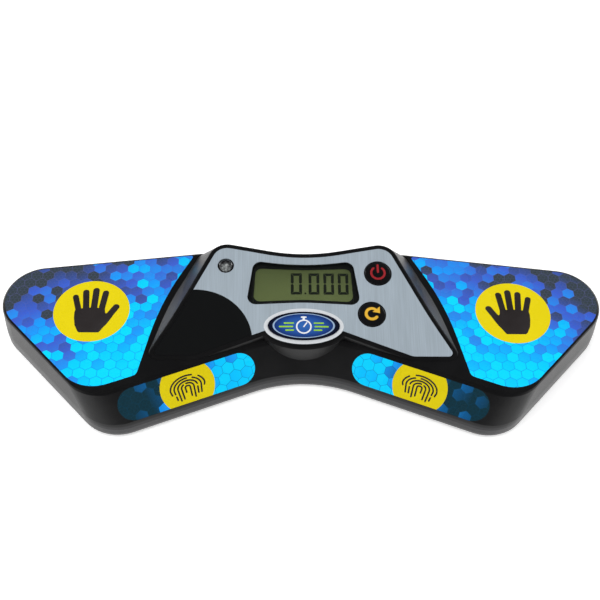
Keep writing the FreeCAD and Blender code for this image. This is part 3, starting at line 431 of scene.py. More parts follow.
class TIMER_OT_housing(bpy.types.Operator):
    """Satin black of the two shells and the battery door, with a painted reflection of the floor
    as a lighter grey on the top shell's foot band, the bottom shell and the door
    """
    bl_idname = "timer.housing"
    bl_label = "Housing finish"

    def execute(self, context):
        base, band_low, band_high = tint("housing"), 0.0074, 0.0082
        black = moulded("housing satin", base * 0.8, base * 1.25, (0.28, 0.4),
                        Specular_IOR_Level=0.32)
        tree = black.node_tree
        shader = tree.nodes["Principled BSDF"]
        height = along(put(tree, "ShaderNodeTexCoord").outputs["Object"], 2)
        # Painted reflection: below the band's top edge the top shell turns a lighter grey that
        # stands in for the white floor mirrored in the upright band
        floor_reflection_band = fitted(height, band_low, band_high, 1.0, 0.0)
        satin = shader.inputs["Base Color"].links[0].from_socket
        paint(shader, blend_colours(floor_reflection_band, satin, base * 5.5))
        dress(black, "top_shell")
        # Painted reflection: the bottom shell takes a lighter grey that stands in for the white
        # floor mirrored in its band; the battery door shares this finish
        dress(moulded("housing matt with painted reflection", base * 4.6, base * 6.0, (0.36, 0.5), grain=1500,
                      depth=0.00008, Specular_IOR_Level=0.85), "bottom_shell", "battery_door")
        return {"FINISHED"}


class TIMER_OT_label(bpy.types.Operator):
    """Brushed silver label with its black sector and the pale ring round the badge"""
    bl_idname = "timer.label"
    bl_label = "Face label"

    def execute(self, context):
        silver = tint("silver")
        sector_middle, sector_radius = (-0.051, -0.01005, 0.0245), 0.0273
        ring_half, ring_rise = 18.55, 9.15
        material, shader, where = new_finish("label print", Metallic=0.25)
        streaks = noise(where, 1000, 4.0, (2.4, 0.05, 0.05))
        broad = noise(where, 60, 1.0, (2.0, 0.5, 0.5))
        tone = maths("ADD", maths("MULTIPLY", streaks, 0.7), maths("MULTIPLY", broad, 0.3))
        base = ramp(tone, [(0.3, silver * 0.88), (0.7, silver * 1.12)])
        sector = maths("LESS_THAN", vectors("DISTANCE", where, sector_middle), sector_radius)
        base = blend_colours(sector, base, tint("ink"))
        ring = maths("LESS_THAN", reach(local_point(where, BADGE), ring_half, ring_rise), 1.0)
        base = blend_colours(ring, base, (0.76, 0.79, 0.82))
        paint(shader, base, spread(tone, 0.30, 0.46))
        relief(shader, streaks, 0.00001, 0.4)
        dress(material, "face_label")
        return {"FINISHED"}


class TIMER_OT_badge(bpy.types.Operator):
    """Crowned oval badge with a plain stopwatch sign"""
    bl_idname = "timer.badge"
    bl_label = "Badge"

    def execute(self, context):
        half, across, foot, edge, rise, fullness = 16.7, 7.3, -0.3, 0.35, 0.45, 0.96
        def crown(x, y):
            share = min((x / half) ** 2 + (y / across) ** 2, 1)
            return edge + rise * math.sqrt(1 - share * fullness)
        material, shader, where = new_finish("badge print", Roughness=0.12, Coat_Weight=0.5)
        share = maths("MULTIPLY_ADD", noise(where, 90), 0.02,
                      reach(local_point(where, BADGE), half, across))
        rim = (0.30, 0.42, 0.58)
        paint(shader, ramp(share, [
            (0.0, (0.032, 0.13, 0.42)), (0.55, (0.018, 0.075, 0.30)),
            (0.82, (0.008, 0.030, 0.15)), (0.835, rim), (0.865, rim),
            (0.88, (0.003, 0.006, 0.022)), (1.0, (0.003, 0.004, 0.012))]))
        shape, place = bmesh.new(), surface(BADGE)
        rows = [(share, crown(half * share, 0)) for share in (0.2, 0.4, 0.6, 0.78, 0.9, 0.97, 1)]
        rings = [[shape.verts.new(place(0, 0, crown(0, 0)))]]
        rings += [[shape.verts.new(place(half * share * x, across * share * y, height))
                   for x, y in arc(1, 0, 360, 96)[:-1]] for share, height in rows + [(1, foot)]]
        skin(shape, rings)
        shape.faces.new(rings[-1][::-1])
        badge = piece_from("badge_oval", shape, HOME, material, 40)
        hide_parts("badge_disc")
        self.sign(surface(BADGE, crown))
        return {"FINISHED"}

    def sign(self, place):
        """A stopwatch outline between speed bars."""
        thickness = 0.1
        white = moulded("sign white", (0.72, 0.74, 0.78), (0.85, 0.86, 0.88), (0.2, 0.3))
        green = moulded("sign green", (0.22, 0.48, 0.02), (0.34, 0.62, 0.04), (0.2, 0.3))
        rim, hand = arc(3.3, 0, 360, 48, (0, -0.6)), [(0, -0.6), (0.7, 0.4), (1.4, 1.4)]
        stem, knob = [(0, 3.0), (0, 3.5), (0, 3.9)], [(-1.0, 4.3), (0, 4.35), (1.0, 4.3)]
        watch = [(stroke(path, width), lift) for path, width, lift in (
            (rim, 0.7, 0.04), (hand, 0.6, 0.04), (stem, 1.1, 0.045), (knob, 0.7, 0.05))]
        raised("badge_watch", place, watch, thickness, HOME, white)
        bars = []
        for side in (-1, 1):
            for y, near, far in ((1.2, 4.9, 9.0), (-0.6, 5.3, 11.2), (-2.4, 4.9, 8.2)):
                path = [(side * (near + (far - near) * i / 6), y) for i in range(7)]
                bars.append((stroke(path, 0.75), 0.04))
        raised("badge_bars", place, bars, thickness, HOME, green)


# Display ----------------------------------------

SEGMENTS = {"0": "abcdef", "1": "bc", "2": "abged", "3": "abgcd", "4": "fgbc", "5": "afgcd",
            "6": "afgedc", "7": "abc", "8": "abcdefg", "9": "abcdfg"}


class TIMER_OT_display(bpy.types.Operator):
    """Window, holder and glass of the display, with its figures; the glass's field carries
    painted shade towards the rear
    """
    bl_idname = "timer.display"
    bl_label = "Display"

    figures: StringProperty(name="Figures", description="What the display shows",
                            default="0000")

    def execute(self, context):
        olive = tint("display")
        field, shader, where = new_finish("display field", Roughness=0.3,
                                          Specular_IOR_Level=0.06)
        # Painted shade: the field darkens towards the rear, where the window's rear edge shades
        # it; noise on top gives uneven tone
        painted_shade_slope = maths("MULTIPLY_ADD", along(local_point(where, PANEL), 1), -0.035, 1.35)
        shade = maths("MULTIPLY_ADD", noise(where, 70), 0.25, painted_shade_slope)
        paint(shader, ramp(maths("MULTIPLY", shade, 0.6),
                           [(0.1, olive * 0.66), (0.75, olive * 1.12)]))
        relief(shader, noise(where, 6000, 1.0), 0.000004)
        dress(field, "lcd_glass")
        clear, shader, where = new_finish("clear window", Alpha=0.1, Roughness=0.04)
        paint(shader, ramp(noise(where, 40), [(0.2, (0.030, 0.036, 0.032)),
                                              (0.8, (0.045, 0.052, 0.048))]))
        dress(clear, "lcd_window")
        dress(moulded("holder black", grey(0.004), grey(0.009), (0.5, 0.7),
                      Specular_IOR_Level=0.1), "lcd_frame")
        dress(moulded("contact rubber", grey(0.25), grey(0.5), (0.6, 0.8), grain=4000),
              "zebra_strips")
        self.draw_mask()
        self.draw_figures()
        return {"FINISHED"}

    def draw_mask(self):
        """Black print on the window's underside, with a hollow top and bottom."""
        black = moulded("mask black", grey(0.004), grey(0.007), (0.4, 0.5),
                        Specular_IOR_Level=0.1)
        half, rise, middle, face, back = 23.75, 9.0, 22.3, -2.83, -2.9
        opening = rounded([(-half, 13.4), (0, 14.5), (half, 13.4), (22.8, 31.3), (0, 30.5),
                           (-22.8, 31.3)], [3, 60, 3, 3, 60, 3])
        shape, place, rows = bmesh.new(), surface(PANEL), []
        for x, y in opening:
            out = min(half / max(abs(x), 1e-6), rise / max(abs(y - middle), 1e-6))
            edge = (x * out, middle + (y - middle) * out)
            rows.append([shape.verts.new(place(*spot)) for spot in (
                (x, y, face), (*edge, face), (*edge, back), (x, y, back))])
        skin(shape, rows + rows[:1])
        piece_from("display_mask", shape, HOME, black)

    def bar(self, name, edge, start, stop, outer):
        """Outline of one bar: mitred where it meets the next at a corner, else pointed."""
        start, stop = Vector(start), Vector(stop)
        way, gap, taper = (stop - start).normalized(), 0.1, 0.8
        side = Vector((-way.y, way.x)) * edge * (outer or 1)
        def end(spot, way, mitred):
            if mitred:
                return [spot - way * (edge - gap) + side, spot + way * (edge + gap) - side]
            shoulder = spot + way * edge * taper
            return [shoulder + side, spot + way * gap, shoulder - side]
        outline = end(start, way, outer) + end(stop, -way, name in "ad")[::-1]
        return [tuple(point) for point in outline]

    def draw_figures(self):
        """Bars of the figures, just above the glass."""
        ink = moulded("display ink", (0.006, 0.009, 0.004), (0.010, 0.013, 0.007), (0.6, 0.7),
                      Specular_IOR_Level=0.0)
        shape, place = bmesh.new(), surface(PANEL)
        low, high, level, thickness, edge = 17.5, 28.9, -3.12, 0.05, size("segment") / 2
        top, foot, middle = high - edge, low + edge, (high + low) / 2
        columns = ((-5.9, -0.6), (2.6, 7.7), (9.7, 14.7), (16.6, 21.6))
        for figure, (left, right) in zip(self.figures, columns):
            left, right = left + edge, right - edge
            bars = {"a": ((left, top), (right, top), 1), "d": ((left, foot), (right, foot), -1),
                    "g": ((left, middle), (right, middle), 0)}
            for x, upper, lower, outer in ((right, "b", "c", 1), (left, "f", "e", -1)):
                bars[upper] = (x, top), (x, middle), outer
                bars[lower] = (x, foot), (x, middle), -outer
            for name in SEGMENTS[figure]:
                outline = self.bar(name, edge, *bars[name])
                add_patch(shape, place, outline, level, thickness)
        point = arc(0.62, 45, 405, 4, (1.0, low + 0.6))[:-1]
        add_patch(shape, place, point, level, thickness)
        piece_from("display_figures", shape, HOME, ink)


# Keys and status light --------------------------

class TIMER_OT_keys(bpy.types.Operator):
    """Crowned round keys with their printed symbols"""
    bl_idname = "timer.keys"
    bl_label = "Keys"

    def execute(self, context):
        black = moulded("key black", (0.0045, 0.0045, 0.005), (0.007, 0.007, 0.0075),
                        (0.24, 0.34), Specular_IOR_Level=0.45)
        red, amber = tint("power_mark"), tint("reset_mark")
        red = moulded("mark red", red * 0.85, red * 1.1, (0.25, 0.4))
        amber = moulded("mark amber", amber * 0.9, amber * 1.08, (0.25, 0.4))
        power = [stroke(arc(3.2, 130, 410, 44), 1.05),
                 stroke([(0, 0.35), (0, 2.3), (0, 4.2)], 1.05)]
        tip, corners = Vector((3.75, 0.35)), (Vector((3.75, 3.9)), Vector((0.3, 0.9)))
        head = [[tip.lerp(corner, share / 8 + 0.01) for share in range(9)] for corner in corners]
        reset = [stroke(arc(2.75, 52, 322, 44), 1.4), head]
        self.key("power_button", "power_key", POWER_SPOT, power, black, red)
        self.key("reset_button", "reset_key", RESET_SPOT, reset, black, amber)
        dress(moulded("switch case", grey(0.03), grey(0.06), (0.5, 0.6)), "power_switch",
              "reset_switch")
        return {"FINISHED"}

    def key(self, node, body, spot, strokes, black, ink):
        """A crowned cap with its skirt, collar and plunger, and its symbol."""
        radius, rise, top, lift, thickness = 6.2, size("key_crown"), 0.7, 0.06, 0.12
        def crown(x, y):
            away = min(math.hypot(x, y) / (radius - 0.5), 1)
            return top - rise * away * away
        profile = [(radius * s / 10, crown(radius * s / 10, 0)) for s in range(9)]
        profile += [(5.7, 0.22), (5.95, 0.12), (6.12, -0.06), (radius, -0.3), (radius, -1.95),
                    (7.1, -1.95), (7.1, -2.95), (1.6, -2.95), (1.6, -3.5), (0, -3.5)]
        shape, seat = bmesh.new(), moved(PANEL, *spot)
        lathe(shape, surface(seat), profile)
        cap = piece_from(node + "_cap", shape, body, black, 35)
        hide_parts(node)
        raised(node + "_mark", surface(seat, crown), [(sides, lift) for sides in strokes],
               thickness, body, ink)


class TIMER_OT_status_light(bpy.types.Operator):
    """Smoked lens of the status light with a painted highlight, and the diode under it"""
    bl_idname = "timer.status_light"
    bl_label = "Status light"

    def execute(self, context):
        smoke, shader, where = new_finish("smoked lens with painted highlight", Roughness=0.1, Coat_Weight=0.4)
        point = local_point(where, moved(PANEL, *LENS_SPOT))
        facets = put(point.id_data, "ShaderNodeTexVoronoi", {
            "Vector": point, "Scale": 0.9}).outputs[0]
        # Painted highlight: the lens is pale near its middle, its front (lower) side and the
        # facets' centres, falling off to its own dark smoked tint
        painted_lens_highlight_and_floor_glow = maths("MULTIPLY_ADD", facets, 0.5, maths("MULTIPLY", reach(point), 0.2))
        painted_lens_highlight_and_floor_glow = maths("MULTIPLY_ADD", along(point, 1), 0.16, painted_lens_highlight_and_floor_glow)
        paint(shader, ramp(painted_lens_highlight_and_floor_glow, [(0.05, (0.52, 0.54, 0.54)), (0.38, (0.16, 0.17, 0.17)),
                                  (0.62, (0.05, 0.052, 0.054)), (0.85, (0.008, 0.008, 0.009))]))
        relief(shader, facets, 0.0002, 0.6)
        dress(smoke, "led_lens")
        dress(moulded("diode red", (0.30, 0.02, 0.02), (0.45, 0.04, 0.03), (0.15, 0.3),
                      Transmission_Weight=0.3), "status_led")
        return {"FINISHED"}


# Pads -------------------------------------------

def pad_art(name, place, side, target, fade, dull, middle, thread):
    """Printed film: hexagonal tiles in blues, and a round target in the middle."""
    material, shader, where = new_finish(name, Specular_IOR_Level=0.2)
    point, pitch = local_point(where, place, side), size("tile")
    identity, rim = hexagons(vectors("ADD", point, (1.1, 2.3, 0)), pitch)
    chance = put(point.id_data, "ShaderNodeTexWhiteNoise", {"Vector": identity}).outputs[0]
    patches = noise(vectors("ADD", identity, (side * 3.0, 0, 0)), 0.42)
    chance_share, patch_share, level = 0.52, 1.5, 0.47
    value = maths("MULTIPLY_ADD", chance, chance_share, vectors("DOT_PRODUCT", point, fade))
    value = maths("SUBTRACT", maths("MULTIPLY_ADD", patches, patch_share, value), level)
    bright = tint("tile_top")
    tile = ramp(value, [(0.10, dull), (0.36, middle), (0.62, tint("tile_high")), (0.80, bright),
                        (1.0, bright + Vector((0, 0.12, 0)))])
    line = ramp(value, [(0.1, thread * 0.8), (0.5, middle * 1.2), (0.8, (0.004, 0.10, 0.42))])
    mortar = maths("SMOOTH_MAX", maths("MULTIPLY_ADD", rim, 40.0, -18.9), 0.0, 0.05, clamp=True)
    base = blend_colours(mortar, tile, line)
    fine = maths("GREATER_THAN", hexagons(point, pitch / 3)[1], 0.455)
    fine = maths("MULTIPLY", fine, fitted(value, 0.25, 0.62, 0.34, 0.0))
    base = blend_colours(fine, base, thread)
    cloud, yellow = noise(where, 80, 3.0), tint("target")
    disc = ramp(cloud, [(0.3, yellow * 0.96), (0.7, yellow)])
    base = blend_colours(maths("LESS_THAN", reach(point), target), base, disc)
    paint(shader, base, spread(cloud, 0.20, 0.34))
    relief(shader, noise(where, 3000), 0.00001, 0.6)
    return material


class TIMER_OT_palm_pads(bpy.types.Operator):
    """Printed films and hand signs of the two palm pads, and the copper foils of all four"""
    bl_idname = "timer.palm_pads"
    bl_label = "Palm pads"

    def execute(self, context):
        ink = moulded("sign ink", (0.018, 0.014, 0.014), (0.028, 0.024, 0.024), (0.3, 0.42))
        foil = drawn_metal("copper foil", (0.55, 0.26, 0.14), (0.75, 0.42, 0.26), (0.25, 0.4))
        for side, tag in SIDES:
            place = palm_frame(side)
            film = pad_art("palm film " + tag, place, side, size("palm_target"),
                           (-0.0085, -0.0125, 0), tint("tile_low"), tint("tile_mid"),
                           Vector((0.10, 0.11, 0.26)))
            dress(film, "palm_overlay_" + tag)
            dress(foil, "palm_sensor_" + tag, "finger_sensor_" + tag)
            shape = bmesh.new()
            add_patch(shape, surface(place), self.hand(side), size("print_lift"),
                      SIGN_THICKNESS)
            piece_from("palm_sign_" + tag, shape, HOME, ink)
        return {"FINISHED"}

    def hand(self, side):
        """Outline of an open hand with its thumb towards the middle of the timer."""
        fingers = [(6.3, 0.9, 8.4, 8.1, 1.4), (2.75, 1.6, 3.8, 11.0, 1.5),
                   (-0.95, 1.8, -0.95, 12.1, 1.55), (-4.65, 1.4, -5.6, 10.6, 1.5)]
        outline = [(5.2, -11.9), (6.9, -8.4), (7.7, -4.2), (7.9, -1.0)]
        for base_x, base_y, tip_x, tip_y, half in fingers:
            way = Vector((tip_x - base_x, tip_y - base_y)).normalized()
            across = Vector((way.y, -way.x)) * half
            lean = math.degrees(math.atan2(way.y, way.x)) - 90
            outline.append((base_x + across.x, base_y + across.y))
            outline += arc(half, lean, lean + 180, 12, (tip_x, tip_y))
            outline.append((base_x - across.x, base_y - across.y))
        outline += [(-6.45, -0.9), (-6.9, -1.6), (-7.4, -1.3)]
        outline += arc(1.6, 39, 219, 12, (-11.3, 2.3))
        outline += [(-10.6, -2.2), (-9.2, -5.2), (-7.9, -7.6), (-6.3, -9.9), (-5.2, -11.9),
                    (-4.5, -12.6), (4.4, -12.6)]
        points = [(x * side, y) for x, y in outline]
        return points if side > 0 else points[::-1]


class TIMER_OT_finger_pads(bpy.types.Operator):
    """Printed films and fingerprint signs of the two finger pads"""
    bl_idname = "timer.finger_pads"
    bl_label = "Finger pads"

    def execute(self, context):
        ink = moulded("print ink", (0.016, 0.013, 0.010), (0.026, 0.022, 0.018), (0.3, 0.42))
        for side, tag in SIDES:
            place = finger_frame(side)
            film = pad_art("finger film " + tag, place, side, size("finger_target"),
                           (-0.021, 0.004, 0), tint("tip_low"), tint("tip_mid"),
                           Vector((0.006, 0.055, 0.10)))
            dress(film, "finger_overlay_" + tag)
            strips = [(stroke(path, 0.76), size("print_lift")) for path in self.ridges(side)]
            raised("finger_sign_" + tag, surface(place), strips, SIGN_THICKNESS, HOME,
                   ink)
        return {"FINISHED"}

    def ridges(self, side):
        """Nested arches of a fingertip with their legs, broken here and there."""
        rows = [(0.8, -4.4, -2.2, ((0, 1),)), (2.0, -5.3, -5.0, ((0, 0.52), (0.6, 1))),
                (3.2, -4.9, -5.4, ((0.05, 0.2), (0.27, 1))),
                (4.4, -4.0, -4.6, ((0, 0.42), (0.49, 0.84), (0.91, 1))),
                (5.6, -2.0, -2.9, ((0.12, 0.37), (0.44, 0.9)))]
        def ridge(rise, left, right, share):
            wide = 1.45 * rise
            if share < 0.25:
                return -wide * (0.9 + 0.4 * share), left * (1 - 4 * share) - 0.4
            if share > 0.75:
                return wide * (1.3 - 0.4 * share), right * (4 * share - 3) - 0.4
            turn = math.pi * (1.5 - 2 * share)
            return wide * math.cos(turn), rise * math.sin(turn) - 0.4
        paths = []
        for rise, left, right, pieces in rows:
            for start, stop in pieces:
                steps = max(int((stop - start) * 40), 4)
                bow = [ridge(rise, left, right, start + (stop - start) * i / steps)
                       for i in range(steps + 1)]
                paths.append([(x * side, y) for x, y in bow])
        return paths


# Fasteners, underside and inside ----------------

def node_group(name, sizes):
    """A geometry tree that takes points, named sizes and a material; gives its inputs."""
    tree = bpy.data.node_groups.new(name, "GeometryNodeTree")
    add = tree.interface.new_socket
    add("Geometry", in_out="INPUT", socket_type="NodeSocketGeometry")
    for label, value in sizes.items():
        kind = "NodeSocketInt" if isinstance(value, int) else "NodeSocketFloat"
        add(label, in_out="INPUT", socket_type=kind).default_value = value
    add("Material", in_out="INPUT", socket_type="NodeSocketMaterial")
    add("Geometry", in_out="OUTPUT", socket_type="NodeSocketGeometry")
    return tree, tree.nodes.new("NodeGroupInput").outputs


def geometry(tree, kind, inputs=None):
    """Output of a geometry node."""
    return put(tree, "GeometryNode" + kind, inputs).outputs[0]


def rod(tree, vertices, radius, depth, lift=0.0, turn=0.0):
    """A cylinder lifted along Z and turned about Y."""
    made = geometry(tree, "MeshCylinder", {
        "Vertices": vertices, "Radius": radius, "Depth": depth})
    place = put(tree, "ShaderNodeCombineXYZ", {2: lift}).outputs[0]
    return geometry(tree, "Transform", {
        0: made, "Translation": place, "Rotation": (0, turn, 0)})


def on_points(tree, use, shape):
    """Ends a tree with its shape on each point, made real and given its material."""
    placed = geometry(tree, "InstanceOnPoints", {"Points": use["Geometry"], "Instance": shape})
    real = geometry(tree, "RealizeInstances", {0: placed})
    coated = geometry(tree, "SetMaterial", {0: real, "Material": use["Material"]})
    tree.links.new(coated, tree.nodes.new("NodeGroupOutput").inputs[0])
    return tree


def grown(name, points, tree, values):
    """A plain mesh of what a geometry tree grows on some points."""
    mesh = bpy.data.meshes.new(name + " points")
    mesh.from_pydata(points, [], [])
    holder = add_object(name + " points", mesh)
    modifier = holder.modifiers.new("Grow", "NODES")
    modifier.node_group = tree
    for item in tree.interface.items_tree:
        if item.in_out == "INPUT" and item.name in values:
            modifier[item.identifier] = values[item.name]
    bpy.context.view_layer.update()
    ready = holder.evaluated_get(bpy.context.evaluated_depsgraph_get())
    result = bpy.data.meshes.new_from_object(ready)
    result.name = name
    bpy.data.objects.remove(holder)
    return result


def screw_tree():
    """Screws with a cross recess on the points, heads down."""
    tree, use = node_group("cross screws", {
        "Head Radius": 0.0025, "Head Height": 0.0018, "Shank Radius": 0.0013,
        "Shank Length": 0.0082, "Recess Length": 0.0027, "Recess Width": 0.0006,
        "Recess Depth": 0.0009})
    head_height, shank_length = use["Head Height"], use["Shank Length"]
    cut = put(tree, "GeometryNodeMeshBoolean", operation="DIFFERENCE", solver="EXACT")
    head = rod(tree, 40, use["Head Radius"], head_height, maths("MULTIPLY", head_height, 0.5))
    tree.links.new(head, cut.inputs[0])
    for first, second in ((0, 1), (1, 0)):
        extent = put(tree, "ShaderNodeCombineXYZ", {
            first: use["Recess Length"], second: use["Recess Width"],
            2: maths("MULTIPLY", use["Recess Depth"], 2.0)}).outputs[0]
        tree.links.new(geometry(tree, "MeshCube", {"Size": extent}), cut.inputs[1])
    rise = maths("MULTIPLY_ADD", shank_length, 0.5, head_height)
    shank = rod(tree, 24, use["Shank Radius"], shank_length, rise)
    whole = put(tree, "GeometryNodeJoinGeometry")
    for part in (cut.outputs[0], shank):
        tree.links.new(part, whole.inputs[0])
    return on_points(tree, use, whole.outputs[0])


def rib_tree():
    """A row of rounded ribs from each point, one beside the other."""
    tree, use = node_group("grip ribs", {"Count": 5, "Pitch": 0.0016, "Length": 0.012,
                                         "Width": 0.0007})
    step = put(tree, "ShaderNodeCombineXYZ", {1: maths("MULTIPLY", use["Pitch"], -1.0)})
    row = geometry(tree, "MeshLine", {"Count": use["Count"], "Offset": step.outputs[0]})
    rib = rod(tree, 12, maths("MULTIPLY", use["Width"], 0.5), use["Length"], turn=math.pi / 2)
    rib = geometry(tree, "SetShadeSmooth", {0: rib})
    ribs = geometry(tree, "InstanceOnPoints", {"Points": row, "Instance": rib})
    return on_points(tree, use, ribs)


class TIMER_OT_screws(bpy.types.Operator):
    """Cross-recess screws under the housing, and the board's screws"""
    bl_idname = "timer.screws"
    bl_label = "Screws"

    head_radius: FloatProperty(name="Head radius", description="Radius of a screw's head",
                               default=0.0025, unit="LENGTH", subtype="DISTANCE")

    def execute(self, context):
        steel = drawn_metal("black zinc", (0.10, 0.10, 0.105), (0.20, 0.20, 0.21),
                            (0.28, 0.42))
        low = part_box("housing_screws")[0].z
        spots = [(side * x, y, low) for side in (1, -1)
                 for x, y in ((0.1225, 0.01595), (0.0845, -0.0238), (0.062, 0.0298))]
        mesh = grown("cross_screws", spots, screw_tree(),
                     {"Head Radius": self.head_radius, "Material": steel})
        screws = piece_from("cross_screws", mesh, HOME)
        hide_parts("housing_screws")
        dress(steel, "board_screws")
        return {"FINISHED"}


class TIMER_OT_underside(bpy.types.Operator):
    """Rubber feet, and the grip and opening mark of the battery door"""
    bl_idname = "timer.underside"
    bl_label = "Underside"

    ribs: IntProperty(name="Ribs", description="Grip ribs on the battery door", default=5,
                      min=0, max=12)

    def execute(self, context):
        dress(moulded("foot rubber", grey(0.012), grey(0.022), (0.7, 0.85), grain=1800,
                      depth=0.0001), "rubber_feet")
        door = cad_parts["battery_door"].material_slots[0].material
        low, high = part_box("battery_door")
        mesh = grown("door_ribs", [(0, high.y - 0.0065, low.z + 0.0001)], rib_tree(),
                     {"Count": self.ribs, "Material": door})
        piece_from("door_ribs", mesh, "door")
        below = turned(Matrix.Translation((0, low.y + 0.0075, low.z)), 180, "Y")
        arrow = [(-3.2, -1.6), (-1.6, -0.2), (-0.3, 0.95), (0, 1.1), (0.3, 0.95), (1.6, -0.2),
                 (3.2, -1.6)]
        width, lift, thickness = 0.8, 0.2, 0.4
        raised("door_mark", surface(below), [(stroke(arrow, width), lift)], thickness, "door",
               door)
        return {"FINISHED"}


class TIMER_OT_inside(bpy.types.Operator):
    """Boards, parts, cells, springs and socket inside the housing"""
    bl_idname = "timer.inside"
    bl_label = "Inside"

    def execute(self, context):
        dress(moulded("solder mask", (0.008, 0.10, 0.03), (0.015, 0.17, 0.05), (0.3, 0.45),
                      grain=900, depth=0.00003), "main_board", "jack_board")
        dress(moulded("chip epoxy", grey(0.008), grey(0.02), (0.5, 0.65), grain=3500),
              "timer_chip")
        dress(drawn_metal("tinned can", grey(0.5), (0.75, 0.75, 0.74), (0.2, 0.35)),
              "quartz_crystal")
        dress(moulded("socket black", grey(0.01), grey(0.02), (0.35, 0.5)), "data_jack")
        dress(drawn_metal("spring steel", (0.42, 0.42, 0.40), (0.66, 0.66, 0.64), (0.2, 0.35),
                          (0.1, 1, 1)), "battery_springs", "battery_contacts")
        self.wrap("battery_front", 1)
        self.wrap("battery_rear", -1)
        return {"FINISHED"}

    def wrap(self, name, way):
        """Plain sleeve of a cell: dark, with a copper band near its nub."""
        low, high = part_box(name)
        material, shader, where = new_finish(name + " sleeve", Metallic=0.7)
        share = maths("MULTIPLY_ADD", along(where, 0), way / (high.x - low.x), 0.5)
        steel, dark, copper = grey(0.5), (0.02, 0.02, 0.022), (0.5, 0.26, 0.1)
        paint(shader, ramp(share, [(0.0, steel), (0.03, dark), (0.72, dark), (0.74, copper),
                                   (0.95, copper), (0.97, steel)]),
              spread(noise(where, 90), 0.22, 0.36))
        dress(material, name)


# Stage ------------------------------------------

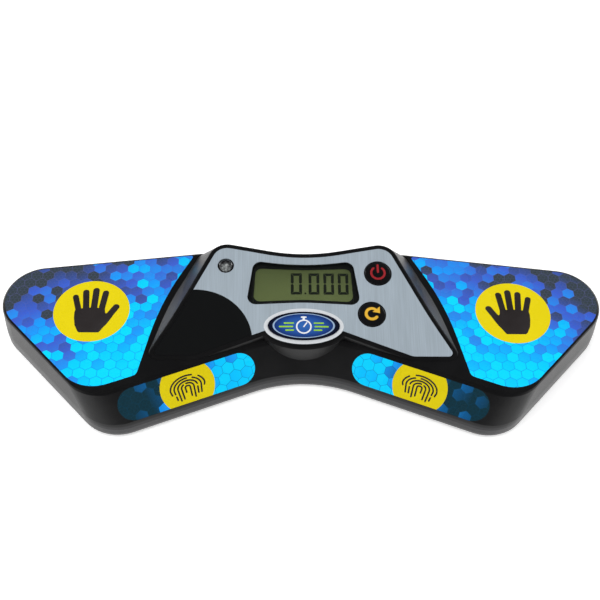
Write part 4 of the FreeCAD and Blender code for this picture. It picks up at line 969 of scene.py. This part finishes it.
class TIMER_OT_stage(bpy.types.Operator):
    """Pale floor, white surroundings, soft lamps and the camera"""
    bl_idname = "timer.stage"
    bl_label = "Stage"

    def execute(self, context):
        place = context.scene.timer_stage
        self.floor(place)
        self.surroundings()
        self.lamp("softbox_key", (-0.45, -0.30, 0.85), 0.9, place.key_light)
        self.lamp("softbox_fill", (0.75, -0.10, 0.60), 0.8, place.key_light * 0.45)
        self.lamp("softbox_back", (0.05, 0.85, 0.55), 0.7, place.key_light * 0.4)
        for side, tag in SIDES:
            self.lamp("softbox_rim_" + tag, (side * 0.9, 0.75, 0.28), 0.5,
                      place.key_light * 0.4, True)
        self.camera(place)
        return {"FINISHED"}

    def floor(self, place):
        """Paper that shows a soft shadow and turns white far from the object."""
        half = place.floor_size / 2
        mesh = bpy.data.meshes.new("floor")
        mesh.from_pydata([(-half, -half, 0), (half, -half, 0), (half, half, 0),
                          (-half, half, 0)], [], [(0, 1, 2, 3)])
        floor = add_object("floor", mesh)
        material, paper, where = new_finish("floor paper", Roughness=0.9,
                                            Specular_IOR_Level=0.0)
        tree, shade = material.node_tree, Vector(place.floor_colour)
        paint(paper, ramp(noise(where, 8), [(0.3, shade * 0.99), (0.7, shade)]))
        rays = put(tree, "ShaderNodeLightPath").outputs
        seen = maths("MAXIMUM", rays["Is Camera Ray"], rays["Is Glossy Ray"])
        seen = maths("MAXIMUM", seen, rays["Is Transmission Ray"])
        near, far, near_glow, far_glow = 0.5, 2.0, 0.35, 0.45
        away = fitted(vectors("LENGTH", where), near, far, 0.0, far_glow)
        backdrop = maths("MULTIPLY", away, rays["Is Camera Ray"])
        strength = maths("MULTIPLY_ADD", seen, near_glow, backdrop)
        painted_lens_highlight_and_floor_glow = put(tree, "ShaderNodeEmission", {0: (1, 1, 1, 1), 1: strength})
        both = put(tree, "ShaderNodeAddShader", {0: paper.outputs[0], 1: painted_lens_highlight_and_floor_glow.outputs[0]})
        tree.links.new(both.outputs[0], tree.nodes["Material Output"].inputs[0])
        mesh.materials.append(material)

    def surroundings(self):
        """White where the camera looks, and a soft studio overhead for the object."""
        world = bpy.data.worlds.new("studio")
        bpy.context.scene.world = world
        world.use_nodes = True
        tree = world.node_tree
        height = along(put(tree, "ShaderNodeTexCoord").outputs["Generated"], 2)
        studio = ramp(maths("MULTIPLY_ADD", height, 0.5, 0.5),
                      [(0.5, grey(1)), (0.55, grey(0.7)), (0.62, (0.14, 0.14, 0.145)),
                       (0.74, (0.03, 0.03, 0.032))])
        rays = put(tree, "ShaderNodeLightPath").outputs
        light = blend_colours(rays["Is Glossy Ray"], grey(0.5), studio)
        white = maths("MAXIMUM", rays["Is Camera Ray"], rays["Is Transmission Ray"])
        back = tree.nodes["Background"]
        tree.links.new(blend_colours(white, light, grey(1)), back.inputs[0])
        back.inputs[1].default_value = 1.0

    def lamp(self, name, place, width, power, gleam=False):
        """A round softbox aimed at the object; `gleam` lets it mirror in glossy faces."""
        data = bpy.data.lights.new(name, "AREA")
        data.shape, data.size, data.energy = "DISK", width, power
        lamp = add_object(name, data)
        lamp.location = place
        lamp.rotation_euler = (-Vector(place)).to_track_quat("-Z", "Y").to_euler()
        lamp.visible_glossy = gleam

    def camera(self, place):
        """The camera, turned from the timer's depth, dipped and rolled."""
        turn, dip, roll = (math.radians(a) for a in (2.269, 52.265, 2.089))
        ahead = Vector((math.sin(turn) * math.cos(dip), math.cos(turn) * math.cos(dip),
                        -math.sin(dip)))
        right = ahead.cross(Vector((0, 0, 1))).normalized()
        up = right.cross(ahead)
        across = right * math.cos(roll) + up * math.sin(roll)
        above = up * math.cos(roll) - right * math.sin(roll)
        data = bpy.data.cameras.new("camera")
        data.sensor_width, data.lens = 36, place.camera_lens
        data.clip_start, data.clip_end = 0.01, 50
        camera = add_object("camera", data)
        axes = Matrix((across, above, -ahead)).transposed().to_4x4()
        camera.matrix_world = Matrix.Translation(place.camera_place) @ axes
        bpy.context.scene.camera = camera


# Panel and registration -------------------------

OPERATORS = (TIMER_OT_housing, TIMER_OT_label, TIMER_OT_badge, TIMER_OT_display, TIMER_OT_keys,
             TIMER_OT_status_light, TIMER_OT_palm_pads, TIMER_OT_finger_pads, TIMER_OT_screws,
             TIMER_OT_underside, TIMER_OT_inside, TIMER_OT_stage)


class TIMER_PT_looks(bpy.types.Panel):
    """Colours, sizes and steps of the timer"""
    bl_label = "Touch timer"
    bl_space_type = "VIEW_3D"
    bl_region_type = "UI"
    bl_category = "Timer"

    def draw(self, context):
        for group in ("timer_colours", "timer_sizes", "timer_stage"):
            settings = getattr(context.scene, group)
            box = self.layout.box()
            for name in settings.__annotations__:
                box.prop(settings, name)
        for operator in OPERATORS:
            self.layout.operator(operator.bl_idname)


CLASSES = (TimerColours, TimerSizes, TimerStage, *OPERATORS, TIMER_PT_looks)


def register():
    for item in CLASSES:
        bpy.utils.register_class(item)
    bpy.types.Scene.timer_colours = PointerProperty(type=TimerColours)
    bpy.types.Scene.timer_sizes = PointerProperty(type=TimerSizes)
    bpy.types.Scene.timer_stage = PointerProperty(type=TimerStage)


def unregister():
    del bpy.types.Scene.timer_stage, bpy.types.Scene.timer_sizes, bpy.types.Scene.timer_colours
    for item in reversed(CLASSES):
        bpy.utils.unregister_class(item)


def main():
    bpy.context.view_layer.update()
    register()
    bpy.context.scene.view_settings.view_transform = "Standard"
    for operator in OPERATORS:
        family, name = operator.bl_idname.split(".")
        getattr(getattr(bpy.ops, family), name)()


if __name__ == "__main__":
    main()
